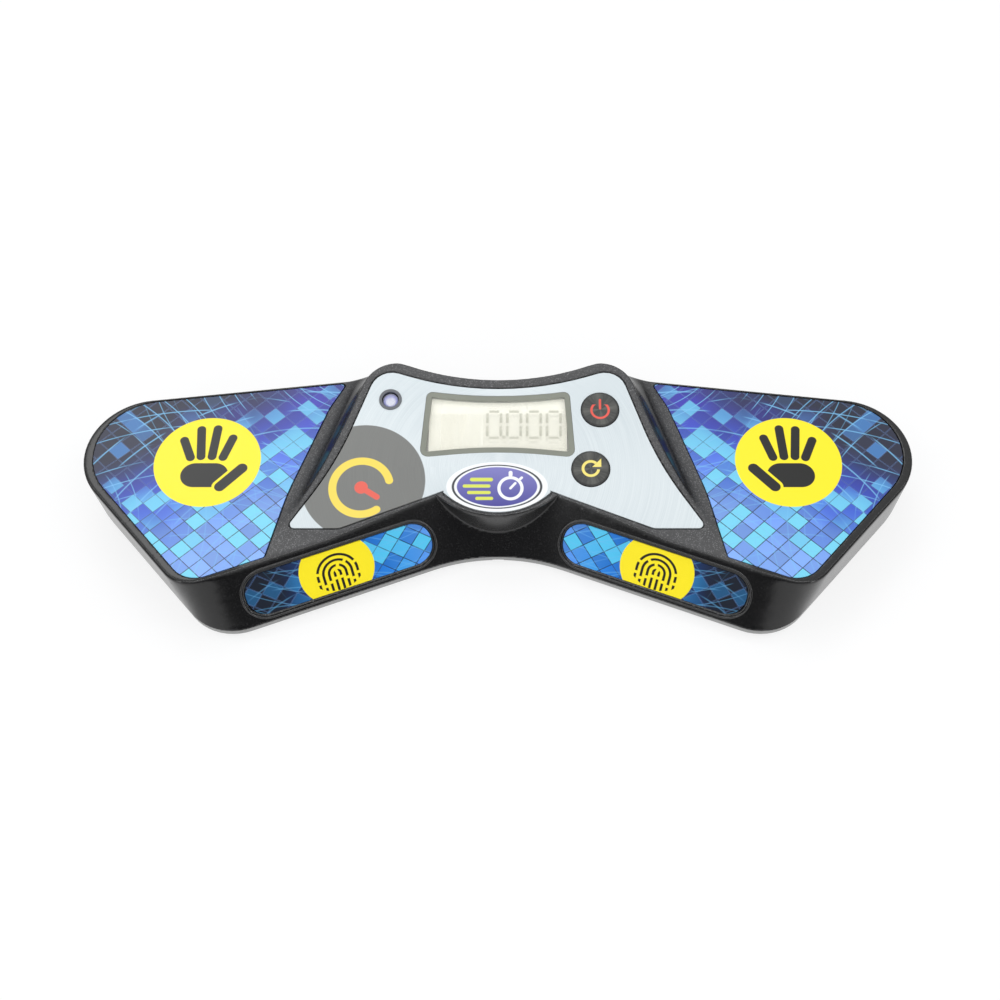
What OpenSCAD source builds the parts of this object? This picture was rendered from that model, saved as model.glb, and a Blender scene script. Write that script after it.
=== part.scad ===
// Speed cube timer: two hand pads, two finger pads, tilted display with two buttons.
// Millimetres. X across, Y away from the user, Z up, the feet stand on Z = 0.

/* [Overall] */
// Width over both wings
body_w = 265; // [212:1:318]
// Depth from the front corners to the back corners
body_d = 85.8; // [80:0.2:103]
// Height of the flat wing tops
wing_z = 21.5; // [18:0.5:26]
// Height of the joint line between the two housings
seam_z = 4; // [3.5:0.1:6]
// Tilt of the display face
tilt = 10; // [6:0.5:12]

/* [Housing outline] */
// Plan angle of the front faces
front_a = 21.3; // [18:0.1:24]
// Slope of the front faces from the level
face_slope = 56.5; // [50:0.5:64]
// Plan angle of the outer front walls
side_a = 48.6; // [44:0.2:54]
// Plan angle of the back walls
back_a = 6.9; // [4:0.1:10]
// Radius of the wing tips
tip_r = 21.6; // [16:0.2:26]
// Radius of the front corners at the joint line
corner_low_r = 17; // [12:0.5:20]
// Radius of the front corners at the wing top
corner_top_r = 10.5; // [8:0.5:14]
// Lean of the outer walls over the housing height
wall_lean = 1.2; // [0.5:0.1:2]
// Radius of the hollow in the middle of the front
front_mid_r = 57; // [45:1:80]
// Radius of the hollow in the middle of the back
back_mid_r = 85; // [70:1:110]
// Distance of the back corners from the middle
back_corner_x = 34.5; // [30:0.5:40]

/* [Housing walls] */
// Side wall thickness
wall = 2.4; // [1.8:0.1:3]
// Top wall thickness
top_wall = 2.5; // [2.2:0.1:3]
// Bottom plate thickness
floor_t = 2; // [1.6:0.1:2.6]
// Height of the feet under the bottom plate
foot_z = 1; // [0.6:0.1:2]
// Shadow gap at the joint line
seam_gap = 0.3; // [0.2:0.05:0.6]

/* [Pads] */
// Recess depth of the hand and finger pads
pad_recess = 0.9; // [0.6:0.1:1.2]
// Thickness of the printed pads
pad_t = 0.6; // [0.4:0.1:0.8]
// Gap around the printed pads
pad_gap = 0.15; // [0.1:0.05:0.3]
// Width of the finger pads
finger_w = 60.4; // [48:0.2:64]
// Height of the finger pads
finger_h = 14.6; // [11:0.2:16]
// Distance of the finger pads from the middle of the front
finger_in = 24.5; // [22:0.5:28]
// Distance of the finger pads up the front face
finger_up = 2.6; // [2:0.1:3.4]
// Thickness of the sensor plates
plate_t = 0.3; // [0.2:0.1:0.5]

/* [Display face] */
// Distance forward to the line where the display face leaves the wings
break_y = -19.6; // [-22:0.2:-18]
// Overlay plate thickness
overlay_t = 0.5; // [0.4:0.1:0.8]
// Radius of the front lip of the display face
lip_r = 29.9; // [26:0.1:34]
// Lean of the wall under the lip
lip_lean = 5.5; // [3:0.5:8]
// Distance from the display face down to the circuit board
board_drop = 6.5; // [6.2:0.1:8]
// Circuit board thickness
board_t = 1.6; // [1:0.1:2]

/* [Buttons] */
// Button radius
button_r = 6; // [5:0.1:6.6]
// Running gap around a button
button_gap = 0.2; // [0.15:0.05:0.3]
// Height of a button above the overlay
button_proud = 0.4; // [0.2:0.1:0.8]
// Travel of a button
press = 0.6; // [0.4:0.1:0.8]
// Power button position
power_at = [32.6, 23.6];
// Reset button position
reset_at = [29.4, 3.3];
// Status lamp position
lamp_at = [-34.5, 27.2];

/* [Battery bay] */
// Cell radius
cell_r = 5.25; // [5:0.05:5.3]
// Cell length with its tip
cell_l = 44.5; // [43.5:0.1:45]
// Middle of the bay from the front
bay_y = 6.5; // [5:0.5:9]
// Battery door thickness
door_t = 1.6; // [1.2:0.1:2]
// Sliding gap around the door
door_gap = 0.2; // [0.15:0.05:0.3]

/* [Which] */
// Sub-part shown on its own, or all of them

/* [Hidden] */
$fn = 48;

rise = wing_z - seam_z;
hw = body_w / 2;
sky_z = wing_z + 18;
bury = 0.5;
tan_t = tan(tilt);

// --- plane geometry ---
function unit(v) = v / norm(v);
function meet(a, b) = let (det = a[0] * b[1] - a[1] * b[0])
  [(a[2] * b[1] - b[2] * a[1]) / det, (a[0] * b[2] - b[0] * a[2]) / det];
function front_line(d) = [-sin(front_a), -cos(front_a), d];
function side_line(d) = [sin(side_a), -cos(side_a), d];
function back_line(d) = [sin(back_a), cos(back_a), d];
function on_x(line, x) = (line[2] - line[0] * x) / line[1];
function on_y(line, y) = (line[2] - line[1] * y) / line[0];
function dot(line, p) = line[0] * p[0] + line[1] * p[1];
function wrap(a) = a > 180 ? a - 360 : a < -180 ? a + 360 : a;
function flat(v) = [v[0], v[1]];
// A corner is [x, y, radius, steps]: the arc that rounds it, as points
function corner(vs, i) =
  let (n = len(vs), v = flat(vs[i]), a = flat(vs[(i + n - 1) % n]),
       b = flat(vs[(i + 1) % n]), u1 = unit(a - v), u2 = unit(b - v),
       half = acos(u1 * u2) / 2, r = max(vs[i][2], 0.05), k = vs[i][3],
       c = v + unit(u1 + u2) * r / sin(half),
       s = v + u1 * r / tan(half) - c, e = v + u2 * r / tan(half) - c,
       a0 = atan2(s[1], s[0]), turn = wrap(atan2(e[1], e[0]) - a0))
  [for (j = [0:k]) c + r * [cos(a0 + turn * j / k), sin(a0 + turn * j / k)]];
function rounded(vs) = [for (i = [0:len(vs) - 1]) each corner(vs, i)];
// The same corners with every edge moved inwards by d
function edge_in(vs, i, d) =
  let (n = len(vs), a = flat(vs[i]), b = flat(vs[(i + 1) % n]), u = unit(b - a),
       m = [u[1], -u[0]])
  [m[0], m[1], m * a - d];
function turn_at(vs, i) =
  let (n = len(vs), a = flat(vs[(i + n - 1) % n]), v = flat(vs[i]),
       b = flat(vs[(i + 1) % n]))
  (v - a)[0] * (b - v)[1] - (v - a)[1] * (b - v)[0];
function inset(vs, d) = [for (i = [0:len(vs) - 1])
  let (p = meet(edge_in(vs, (i + len(vs) - 1) % len(vs), d), edge_in(vs, i, d)))
  [p[0], p[1], vs[i][2] + (turn_at(vs, i) > 0 ? -d : d), vs[i][3]]];
function flip(vs) = [for (i = [len(vs) - 1:-1:0])
  [-vs[i][0], vs[i][1], vs[i][2], vs[i][3]]];

// --- walls of the housing ---
back_v = [back_corner_x, body_d / 2];
back_d = dot(back_line(0), back_v);
tip_c = [hw - tip_r, on_x(back_line(back_d - tip_r), hw - tip_r)];
side_d = dot(side_line(0), tip_c) + tip_r;
low_c_y = corner_low_r - body_d / 2;
low_c = [on_y(side_line(side_d - wall_lean - corner_low_r), low_c_y), low_c_y];
front_d = dot(front_line(0), low_c) + corner_low_r;
mid_back_y = 30;
mid_lines_r = 16;
// Corners of the housing at height z, right half first, from the middle of the front
function body_corners(z) =
  let (u = (z - seam_z) / rise, f = front_line(front_d - (z - seam_z) / tan(face_slope)),
       s = side_line(side_d - wall_lean * (1 - u)), b = back_line(back_d),
       half = [[each meet(f, s), corner_low_r + (corner_top_r - corner_low_r) * u, 10],
               [each meet(s, b), tip_r, 18], [back_v[0], back_v[1], 8, 4]])
  concat([[0, on_x(f, 0), front_mid_r, mid_lines_r]], half,
         [[0, mid_back_y, back_mid_r, mid_lines_r]], flip(half));
function body_ring(z, d) = rounded(inset(body_corners(z), d));
function lift(ring, z) = [for (p = ring) [p[0], p[1], z]];
// Height of the display face over a point
function face_z(y) = wing_z + (y - break_y) * tan_t;

// --- raised middle ---
middle_back = 28.5;
middle_wide = 90;
middle_rear = [54, 48.8];
function middle_corners() =
  let (half = [[middle_wide, break_y - 5, 1, 1], [middle_rear[0], middle_rear[1], 1, 1]])
  concat(half, [[0, middle_back, back_mid_r, 12]], flip(half));
scoop_r = 11.5;
scoop_at = [51.9, 42.7];
scoop_turn = -72.3;
scoop_dip = 0.15;
scoop_z = wing_z + scoop_r - scoop_dip;
corner_at = [32.8, 29.3];
corner_ring = 22.55;
middle_deep = 14;

// --- solids from rings of points ---
// Triangles between the front chain and the back chain of a ring, from left to right
function zip(ring, low, high, a, b) =
  a + 1 >= len(low) && b + 1 >= len(high) ? [] :
  let (front = b + 1 >= len(high)
         || (a + 1 < len(low) && ring[low[a + 1]][0] < ring[high[b + 1]][0]),
       tri = front ? [low[a], low[a + 1], high[b]] : [low[a], high[b + 1], high[b]],
       rest = front ? zip(ring, low, high, a + 1, b) : zip(ring, low, high, a, b + 1))
  tri[0] == tri[1] || tri[0] == tri[2] || tri[1] == tri[2] ? rest : concat([tri], rest);
// A flat cap of a ring that has one front and one back point at each x
function cap(ring) =
  let (n = len(ring), xs = [for (p = ring) p[0]],
       first = search(min(xs), xs)[0], last = search(max(xs), xs)[0],
       reach = (last - first + n) % n)
  zip(ring, [for (t = [0:reach]) (first + t) % n],
      [for (t = [0:n - reach]) (first - t + n) % n], 0, 0);
module loft(rings) {
  n = len(rings[0]);
  m = len(rings);
  points = [for (ring = rings) each ring];
  sides = [for (i = [0:m - 2], j = [0:n - 1]) let (k = (j + 1) % n) each
    [[i * n + j, (i + 1) * n + j, (i + 1) * n + k], [i * n + j, (i + 1) * n + k, i * n + k]]];
  top = [for (t = cap(rings[m - 1])) [for (j = [2:-1:0]) (m - 1) * n + t[j]]];
  polyhedron(points, concat(cap(rings[0]), sides, top));
}
module body_block(z0, z1, d) {
  loft([lift(body_ring(z0, d), z0), lift(body_ring(z1, d), z1)]);
}
module slab(z0, z1) {
  translate([-hw - 10, -body_d, z0])
    cube([body_w + 20, 2 * body_d, z1 - z0]);
}
module scoop(drop) {
  r = scoop_r + drop;
  translate([scoop_at[0], scoop_at[1], scoop_z])
    rotate([0, 0, scoop_turn]) {
      translate([-30, 0, 0])
        rotate([0, 90, 0])
          cylinder(r = r, h = 120);
      translate([-30, 0, 0.1 - r])
        cube([120, 60, 40]);
    }
}
module scoop_corner(drop) {
  r = scoop_r + drop;
  translate([corner_at[0], corner_at[1], scoop_z])
    rotate([0, 0, scoop_turn + 90])
      difference() {
        translate([0, 0, 0.05 - r])
          cube([40, 40, 40]);
        difference() {
          translate([0, 0, -r - 1])
            cylinder(r = corner_ring, h = 50);
          rotate_extrude()
            translate([corner_ring, 0])
              circle(r = r);
        }
      }
}
module middle_block(d, drop) {
  difference() {
    display_frame()
      plate(up_face(inset(middle_corners(), d)), -middle_deep - drop, -drop * cos(tilt));
    both() {
      scoop(drop);
      scoop_corner(drop);
    }
  }
}

// --- placing ---
module on_face(p, drop = 0) {
  translate([p[0], p[1], face_z(p[1])])
    rotate([tilt, 0, 0])
      translate([0, 0, -drop])
        children();
}
module display_frame() {
  translate([0, break_y, wing_z])
    rotate([tilt, 0, 0])
      children();
}
function up_face(vs) = [for (v = vs) [v[0], (v[1] - break_y) / cos(tilt), v[2], v[3]]];
module front_face() {
  translate([-sin(front_a) * front_d, -cos(front_a) * front_d, seam_z])
    rotate([0, 0, -front_a])
      rotate([face_slope, 0, 0])
        children();
}
module left() {
  mirror([1, 0, 0])
    children();
}
module both() {
  children();
  left()
    children();
}
module plate(vs, z0, z1) {
  translate([0, 0, z0])
    linear_extrude(height = z1 - z0)
      polygon(rounded(vs));
}
module tube(r, z0, z1) {
  translate([0, 0, z0])
    cylinder(r = r, h = z1 - z0);
}

// --- pad outlines ---
pad_side = 3;
pad_back = 1;
pad_front = 1.1;
pad_f = front_line(front_d - rise / tan(face_slope) - pad_front);
pad_s = side_line(side_d - pad_side);
pad_b = back_line(back_d - pad_back);
function hand_corners() = [[71, on_x(pad_f, 71), 1, 3],
  [each meet(pad_f, pad_s), 9, 8], [each meet(pad_s, pad_b), tip_r - 1.4, 16],
  [50.2, on_x(pad_b, 50.2), 1, 3], [55.2, 30, 25, 5], [66, -3, 90, 6]];
function finger_corners() =
  let (x0 = finger_in, x1 = finger_in + finger_w, y0 = finger_up, y1 = finger_up + finger_h,
       r = finger_h * 0.46)
  [[x0, y0, r, 8], [x1, y0, r, 8], [x1, y1, r, 8], [x0, y1, r, 8]];
overlay_half = [[17.2, -4.2, 0.8, 2], [48.7, -16.4, 5, 3], [65.3, -16.4, 1.4, 4],
  [50.8, 5, 110, 8], [38.6, 38.5, 7, 6]];
function overlay_corners() = concat([[0, 4, 2, 2]], overlay_half, [[0, 26.2, 95, 12]],
  flip(overlay_half));
overlay_lip_r = 24.5;
overlay_lip_y = 13;
function screen_corners() =
  let (half = [[24.7, 7.2, 2.5, 4], [22.9, 30.2, 2, 4]])
  concat([[0, 9.6, 150, 10]], half, [[0, 27, 150, 10]], flip(half));
module overlay_shape(d) {
  difference() {
    union() {
      polygon(rounded(up_face(inset(overlay_corners(), d))));
      intersection() {
        translate([0, (overlay_lip_y - break_y) / cos(tilt)])
          circle(r = overlay_lip_r - d, $fn = 96);
        translate([-16.7, 0])
          square([33.4, 26]);
      }
    }
    children();
  }
}

// --- shared positions ---
boss_r = 3;
screw_r = 1.25;
screw_head_r = 2.4;
screw_head_t = 1.3;
screw_l = 9;
screw_z = foot_z + 0.3;
boss_at = [[hw - 21, 12], [hw - 49, -24], [55, 31]];
boss_z = seam_z + 0.1;
post_r = 2.5;
post_at = [[37, 13.2], [-37, 6], [-29.5, 31]];
board_screw_r = 1;
board_screw_l = 4;
board_head_t = 1.1;
under_top = wing_z - top_wall;
under_face = top_wall * cos(tilt);
hand_tail_y = 21;
tail_end_x = 37;
finger_tail_x = 35;
finger_tail_end_y = 2;
finger_tail_z = wing_z - 8;
tail_w = 6;
pillar_w = 4;
foot_r = 6;
foot_t = 1.4;
foot_at = [[hw - 19, 0], [hw - 60, -27], [44, 33]];
floor_in = foot_z + floor_t;
deck_z = foot_z + door_t + 0.2 + 1.2;
deck_half = 31;
base_in = 0.3;
lip_in = wall + 0.15;
lip_t = 1.25;
lip_h = 2;
notch_w = 3.6;
bay_half = [26, 11.6];
tray_wall = 1.2;
cell_gap = 0.4;
cell_z = foot_z + door_t + cell_gap + cell_r;
tray_top = cell_z + cell_r + cell_gap + tray_wall;
nub_r = 2.75;
nub_l = 1;
contact_t = 0.3;
door_half_x = 27;
door_lip = 1.5;
door_front_y = bay_y - bay_half[1] - 2;
jack = [8, 12.5, 8];
jack_r = 1.8;
jack_deep = 11;
nozzle_r = 3;
back_mid_y = max([for (p = body_ring(seam_z, 0)) abs(p[0]) < 1 ? p[1] : -body_d]);
jack_back = back_mid_y - wall - 0.1;
jack_z = deck_z + jack[2] / 2;
flange_r = button_r + 0.6;
flange_t = 0.9;
flange_top = under_face + 0.05;
cap_bottom = flange_top + flange_t;
plunger_r = 1.7;
plunger_in = 0.8;
switch_top = board_drop - 2.2;
lamp_ring_r = 3.6;
lamp_r = 2.6;
window_y = 18.4;
glass = [44, 20.9, 2.5];
glass_top = 1.5;
buzzer_at = [-46, 4];
buzzer_r = 8;

// --- housings ---
lip_y = lip_r - 12.8;
module lip(d, drop) {
  intersection() {
    translate([0, lip_y, face_z(lip_y)])
      rotate([lip_lean, 0, 0])
        translate([0, 0, -30])
          cylinder(r = lip_r - d, h = 40, $fn = 120);
    display_frame()
      translate([-20 + d, 0, -14])
        cube([40 - 2 * d, 26, 14 - drop - 0.03]);
  }
}
module housing_form(z0, d, drop) {
  intersection() {
    body_block(z0, sky_z, d);
    union() {
      slab(z0 - 1, wing_z - drop);
      middle_block(d, drop);
    }
  }
  lip(d, drop);
}
module top_bosses() {
  both()
    for (p = boss_at)
      translate(p)
        tube(boss_r, boss_z, under_top + bury);
  for (p = post_at)
    on_face(p)
      tube(post_r, -board_drop, bury - under_face);
}
module top_holes() {
  both()
    for (p = boss_at)
      translate(p)
        tube(screw_r + 0.05, boss_z - 1, screw_z + screw_head_t + screw_l + 1);
  for (p = post_at)
    on_face(p)
      tube(board_screw_r + 0.05, -board_drop - 1, 0.6 - board_drop + board_screw_l);
  for (p = [power_at, reset_at])
    on_face(p)
      tube(button_r + button_gap, -4, 2);
  on_face(lamp_at)
    tube(lamp_r + 0.35, -4, 2);
  display_frame() {
    translate([0, 0, -overlay_t])
      linear_extrude(height = 3)
        overlay_shape(0);
    plate(up_face(inset(screen_corners(), 1)), -4, 1);
  }
  on_face([0, window_y])
    translate([-glass[0] / 2 - 0.2, -glass[1] / 2 - 0.2, -4])
      cube([glass[0] + 0.4, glass[1] + 0.4, 4 - glass_top + 0.05]);
  translate([0, back_mid_y - wall - 2, jack_z])
    rotate([-90, 0, 0])
      cylinder(r = nozzle_r + 0.2, h = 8);
}
module pad_recesses() {
  both() {
    plate(hand_corners(), wing_z - pad_recess, wing_z + 0.5);
    front_face()
      plate(finger_corners(), -pad_recess, 1);
  }
}
module top_housing() {
  color("#202226")
    difference() {
      union() {
        difference() {
          housing_form(seam_z, 0, 0);
          housing_form(seam_z - 2, wall, top_wall);
        }
        top_bosses();
      }
      top_holes();
      pad_recesses();
    }
}
module door_slot() {
  far = body_d;
  front = door_front_y - door_gap;
  half = door_half_x + door_gap;
  translate([-half, front, 0])
    cube([2 * half, far, foot_z + door_t]);
  translate([-half - door_lip, front, foot_z + 0.65])
    cube([2 * (half + door_lip), far, door_t + door_gap - 0.65]);
}
module bay_box(grow, z0, z1) {
  translate([-bay_half[0] - grow, bay_y - bay_half[1] - grow, z0])
    cube([2 * (bay_half[0] + grow), 2 * (bay_half[1] + grow), z1 - z0]);
}
module bottom_shell() {
  difference() {
    loft([lift(body_ring(seam_z, 1.3), foot_z), lift(body_ring(seam_z, base_in), foot_z + 0.9),
      lift(body_ring(seam_z, base_in), seam_z - seam_gap),
      lift(body_ring(seam_z, lip_in), seam_z - seam_gap),
      lift(body_ring(seam_z + lip_h, lip_in), seam_z + lip_h)]);
    difference() {
      translate([0, 0, floor_in])
        linear_extrude(height = sky_z)
          polygon(body_ring(seam_z + lip_h, lip_in + lip_t));
      both()
        for (p = boss_at)
          translate(p)
            tube(boss_r + 0.4, 0, boss_z);
      translate([-deck_half, door_front_y - 2.5, 0])
        cube([2 * deck_half, body_d, deck_z]);
    }
    translate([-6, back_mid_y - 8, deck_z])
      cube([12, 12, 8]);
  }
}
module bottom_housing() {
  color("#1b1c1f")
    difference() {
      union() {
        bottom_shell();
        bay_box(tray_wall, deck_z - bury, tray_top);
      }
      door_slot();
      bay_box(0, foot_z, tray_top - tray_wall);
      both() {
        for (p = boss_at)
          translate(p) {
            tube(screw_r + 0.3, 0, boss_z + 1);
            tube(screw_head_r + 0.2, 0, screw_z + screw_head_t);
          }
        for (p = foot_at)
          translate(p)
            tube(foot_r + 0.1, 0, foot_t);
      }
      for (a = [0:45:315])
        translate([buzzer_at[0] + 4 * cos(a), buzzer_at[1] + 4 * sin(a), 0])
          tube(0.6, 0, seam_z);
      translate([-notch_w / 2, -body_d / 2, 0])
        cube([notch_w, body_d / 2 - 14, foot_z + 1.2]);
    }
}

// --- pads and sensor plates ---
module hand_pad() {
  color("#2c6fd0")
    plate(inset(hand_corners(), pad_gap), wing_z - pad_recess, wing_z - pad_recess + pad_t);
}
module finger_pad() {
  color("#2c6fd0")
    front_face()
      plate(inset(finger_corners(), pad_gap), -pad_recess, pad_t - pad_recess);
}
module hand_plate() {
  color("#c98a4b")
    difference() {
      union() {
        plate(inset(hand_corners(), 3.5), under_top - plate_t, under_top);
        translate([tail_end_x, hand_tail_y - tail_w / 2, under_top - plate_t])
          cube([30, tail_w, plate_t]);
      }
      for (p = boss_at)
        translate(p)
          tube(boss_r + 0.4, 0, wing_z);
    }
}
module finger_plate() {
  inner = wall * sin(face_slope);
  color("#c98a4b")
    union() {
      front_face()
        plate(inset(finger_corners(), 1.6), -inner - plate_t, -inner);
      intersection() {
        body_block(seam_z, wing_z, wall + 0.06);
        translate([finger_tail_x - tail_w / 2, -body_d / 2, finger_tail_z])
          cube([tail_w, body_d / 2 + finger_tail_end_y, plate_t]);
      }
    }
}
module sensor_post(p, z) {
  difference() {
    translate([p[0] - pillar_w / 2, p[1] - pillar_w / 2, z])
      cube([pillar_w, pillar_w, 8]);
    on_face(p, board_drop + board_t)
      translate([-8, -8, 0])
        cube([16, 16, 16]);
  }
}
module sensor_posts() {
  color("#d8d8d4")
    both() {
      sensor_post([tail_end_x + pillar_w / 2, hand_tail_y], under_top);
      sensor_post([finger_tail_x, finger_tail_end_y - 2.2], finger_tail_z + plate_t);
    }
}

// --- display ---
module display_overlay() {
  color("#b9c3c8")
    difference() {
      display_frame()
        translate([0, 0, -overlay_t])
          linear_extrude(height = overlay_t)
            overlay_shape(0.1);
      display_frame()
        plate(up_face(screen_corners()), -2, 2);
      for (p = [power_at, reset_at])
        on_face(p)
          tube(button_r + button_gap, -2, 2);
      on_face(lamp_at)
        tube(lamp_ring_r + 0.05, -2, 2);
    }
}
module lcd_bezel() {
  color("#6d706a")
    display_frame()
      difference() {
        union() {
          plate(up_face(inset(screen_corners(), 0.1)), -overlay_t, -0.05);
          plate(up_face(inset(screen_corners(), 1.1)), 0.1 - glass_top, -0.1);
        }
        plate(up_face(inset(screen_corners(), 1.8)), -3, 1);
      }
}
module lcd_window() {
  color("#e8ecec", 0.4)
    display_frame()
      plate(up_face(inset(screen_corners(), 1.85)), -glass_top, -0.35);
}
module lcd_glass() {
  color("#cfcdb8")
    on_face([0, window_y])
      translate([-glass[0] / 2, -glass[1] / 2, -glass_top - glass[2]])
        cube(glass);
}
module lcd_holder() {
  frame = [glass[0] + 0.3, glass[1] + 0.3];
  rim = 1.2;
  top = under_face + 0.05;
  color("#e4e2da")
    on_face([0, window_y])
      difference() {
        translate([-frame[0] / 2 - rim, -frame[1] / 2 - rim, -board_drop])
          cube([frame[0] + 2 * rim, frame[1] + 2 * rim, board_drop - top]);
        translate([-frame[0] / 2, -frame[1] / 2, -board_drop - 1])
          cube([frame[0], frame[1], board_drop + 2]);
      }
}
module lcd_contact_strips() {
  strip = [40, 2, board_drop - glass_top - glass[2]];
  color("#e07a9a")
    on_face([0, window_y])
      for (s = [-1, 1])
        translate([-strip[0] / 2, s * (glass[1] / 2 - 2) - strip[1] / 2, -board_drop])
          cube(strip);
}

// --- circuit board ---
function board_corners() =
  let (half = [[38, -3.5, 1, 1], [44, 2, 1, 1], [42.5, 14, 4, 2], [39, 30.5, 2, 2]])
  concat(half, flip(half));
module main_board() {
  color("#1f6b3a")
    difference() {
      display_frame()
        plate(up_face(board_corners()), -board_drop - board_t, -board_drop);
      for (p = post_at)
        on_face(p)
          tube(board_screw_r + 0.2, -board_drop - 3, 0);
    }
}
module controller_chip() {
  color("#15151a")
    on_face([0, window_y], board_drop)
      union() {
        tube(5.5, 0, 0.7);
        tube(4, 0.5, 1.3);
      }
}
module board_parts() {
  color("#8f9499")
    union() {
      on_face([-31, 14], board_drop)
        translate([-2, -5.5, 0])
          cube([4, 11, 2.6]);
      for (y = [12.5, 18])
        on_face([-38.6, y], board_drop)
          tube(2, 0, 3);
      for (x = [-16:8:16])
        on_face([x, 0.5], board_drop)
          translate([-1.6, -0.8, 0])
            cube([3.2, 1.6, 1]);
    }
}
module button_switch(p) {
  on_face(p, board_drop)
    difference() {
      translate([-3, -3, 0])
        cube([6, 6, board_drop - switch_top]);
      tube(plunger_r + 0.1, board_drop - switch_top - plunger_in - press - 0.2, 4);
    }
}
module button_switches() {
  color("#2b2d30") {
    button_switch(power_at);
    button_switch(reset_at);
  }
}
module plunger(p) {
  color("#b23a2e")
    on_face(p)
      tube(plunger_r, -switch_top - plunger_in, -cap_bottom);
}
module button(p) {
  color("#3a3b3f")
    on_face(p)
      union() {
        tube(button_r, -cap_bottom, button_proud);
        tube(flange_r, -cap_bottom, -flange_top);
      }
}
module lamp_ring() {
  color("#55585b")
    on_face(lamp_at)
      difference() {
        tube(lamp_ring_r, -overlay_t, 0.3);
        tube(lamp_r + 0.1, -1, 1);
      }
}
module lamp_lens() {
  dome_z = lamp_r + 0.05;
  color("#dfe6f4")
    on_face(lamp_at)
      union() {
        tube(lamp_r, -board_drop + 1, -dome_z);
        intersection() {
          translate([0, 0, -dome_z])
            sphere(r = lamp_r - 0.05);
          tube(lamp_r + 1, -dome_z - 0.5, 1);
        }
        tube(lamp_r + 0.3, -board_drop + 0.9, -board_drop + 1.8);
        for (s = [-1, 1])
          translate([s * 1.27, 0, 0])
            tube(0.3, -board_drop, -board_drop + 1);
      }
}
module buzzer() {
  color("#26262a")
    translate(buzzer_at)
      difference() {
        tube(buzzer_r, floor_in, floor_in + 4.2);
        tube(1.4, floor_in + 3.4, floor_in + 6);
      }
}

// --- battery bay ---
function cell_y(s) = bay_y + s * (cell_r + 0.25);
module battery_cells() {
  color("#9aa0a6")
    for (s = [-1, 1])
      translate([-s * cell_l / 2, cell_y(s), cell_z])
        rotate([0, s * 90, 0])
          union() {
            cylinder(r = cell_r, h = cell_l - nub_l);
            cylinder(r = nub_r, h = cell_l);
          }
}
module battery_contacts() {
  reach = bay_half[0] - cell_l / 2;
  color("#c9ccd0")
    both()
      for (s = [-1, 1])
        translate([bay_half[0], cell_y(s), cell_z])
          rotate([0, -90, 0])
            union() {
              translate([-4.2, -4.8, 0])
                cube([8.4, 9.6, contact_t]);
              cylinder(r = 2, h = reach);
            }
}
module battery_door() {
  lip_low = foot_z + 0.85;
  color("#1b1c1f")
    difference() {
      intersection() {
        body_block(0, seam_z, 0.5);
        union() {
          translate([-door_half_x, door_front_y, foot_z])
            cube([2 * door_half_x, body_d, door_t]);
          translate([-door_half_x - door_lip, door_front_y, lip_low])
            cube([2 * (door_half_x + door_lip), body_d, foot_z + door_t - lip_low]);
        }
      }
      for (k = [0:5])
        translate([-8, 20 + 1.6 * k, foot_z - 1])
          cube([16, 0.8, 1.4]);
    }
}
module data_jack() {
  color("#3b3d41")
    difference() {
      union() {
        translate([-jack[0] / 2, jack_back - jack[1], deck_z])
          cube(jack);
        translate([0, jack_back - 1, jack_z])
          rotate([-90, 0, 0])
            cylinder(r = nozzle_r, h = wall + 0.8);
      }
      translate([0, jack_back + wall - 0.2 - jack_deep, jack_z])
        rotate([-90, 0, 0])
          cylinder(r = jack_r, h = jack_deep + 1);
    }
}

// --- fasteners and feet ---
module housing_screws() {
  color("#8d9196")
    both()
      for (p = boss_at)
        translate([p[0], p[1], screw_z])
          difference() {
            union() {
              tube(screw_head_r, 0, screw_head_t);
              tube(screw_r, screw_head_t - 0.2, screw_head_t + screw_l);
            }
            for (a = [0, 90])
              rotate([0, 0, a])
                translate([-1.4, -0.25, -1])
                  cube([2.8, 0.5, 1.6]);
          }
}
module board_screws() {
  color("#8d9196")
    for (p = post_at)
      on_face(p, board_drop + board_t + board_head_t)
        union() {
          tube(1.8, 0, board_head_t);
          tube(board_screw_r, board_head_t - 0.2, board_head_t + board_t + board_screw_l - 0.6);
        }
}
module rubber_feet() {
  color("#2d2d2d")
    both()
      for (p = foot_at)
        translate(p)
          tube(foot_r, 0, foot_t);
}

top_housing();
bottom_housing();
hand_pad();  // hand_pad_right
left() hand_pad();  // hand_pad_left
finger_pad();  // finger_pad_right
left() finger_pad();  // finger_pad_left
hand_plate();  // hand_plate_right
left() hand_plate();  // hand_plate_left
finger_plate();  // finger_plate_right
left() finger_plate();  // finger_plate_left
display_overlay();
lcd_bezel();
lcd_window();
lcd_glass();
lcd_holder();
lcd_contact_strips();
main_board();
controller_chip();
board_parts();
sensor_posts();
button(power_at);  // power_button
button(reset_at);  // reset_button
plunger(power_at);  // power_plunger
plunger(reset_at);  // reset_plunger
button_switches();
lamp_ring();
lamp_lens();
buzzer();
battery_cells();
battery_contacts();
battery_door();
data_jack();
housing_screws();
board_screws();
rubber_feet();
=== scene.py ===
"""Looks of a speed cube timer: two printed hand pads, two finger pads, tilted display.

Lengths in the classes are millimetres in the model's frame, and become metres when a
mesh is made.
"""

import logging
import math
from dataclasses import dataclass, field
from enum import Enum
from typing import Any, Optional, Sequence, Union

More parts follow.
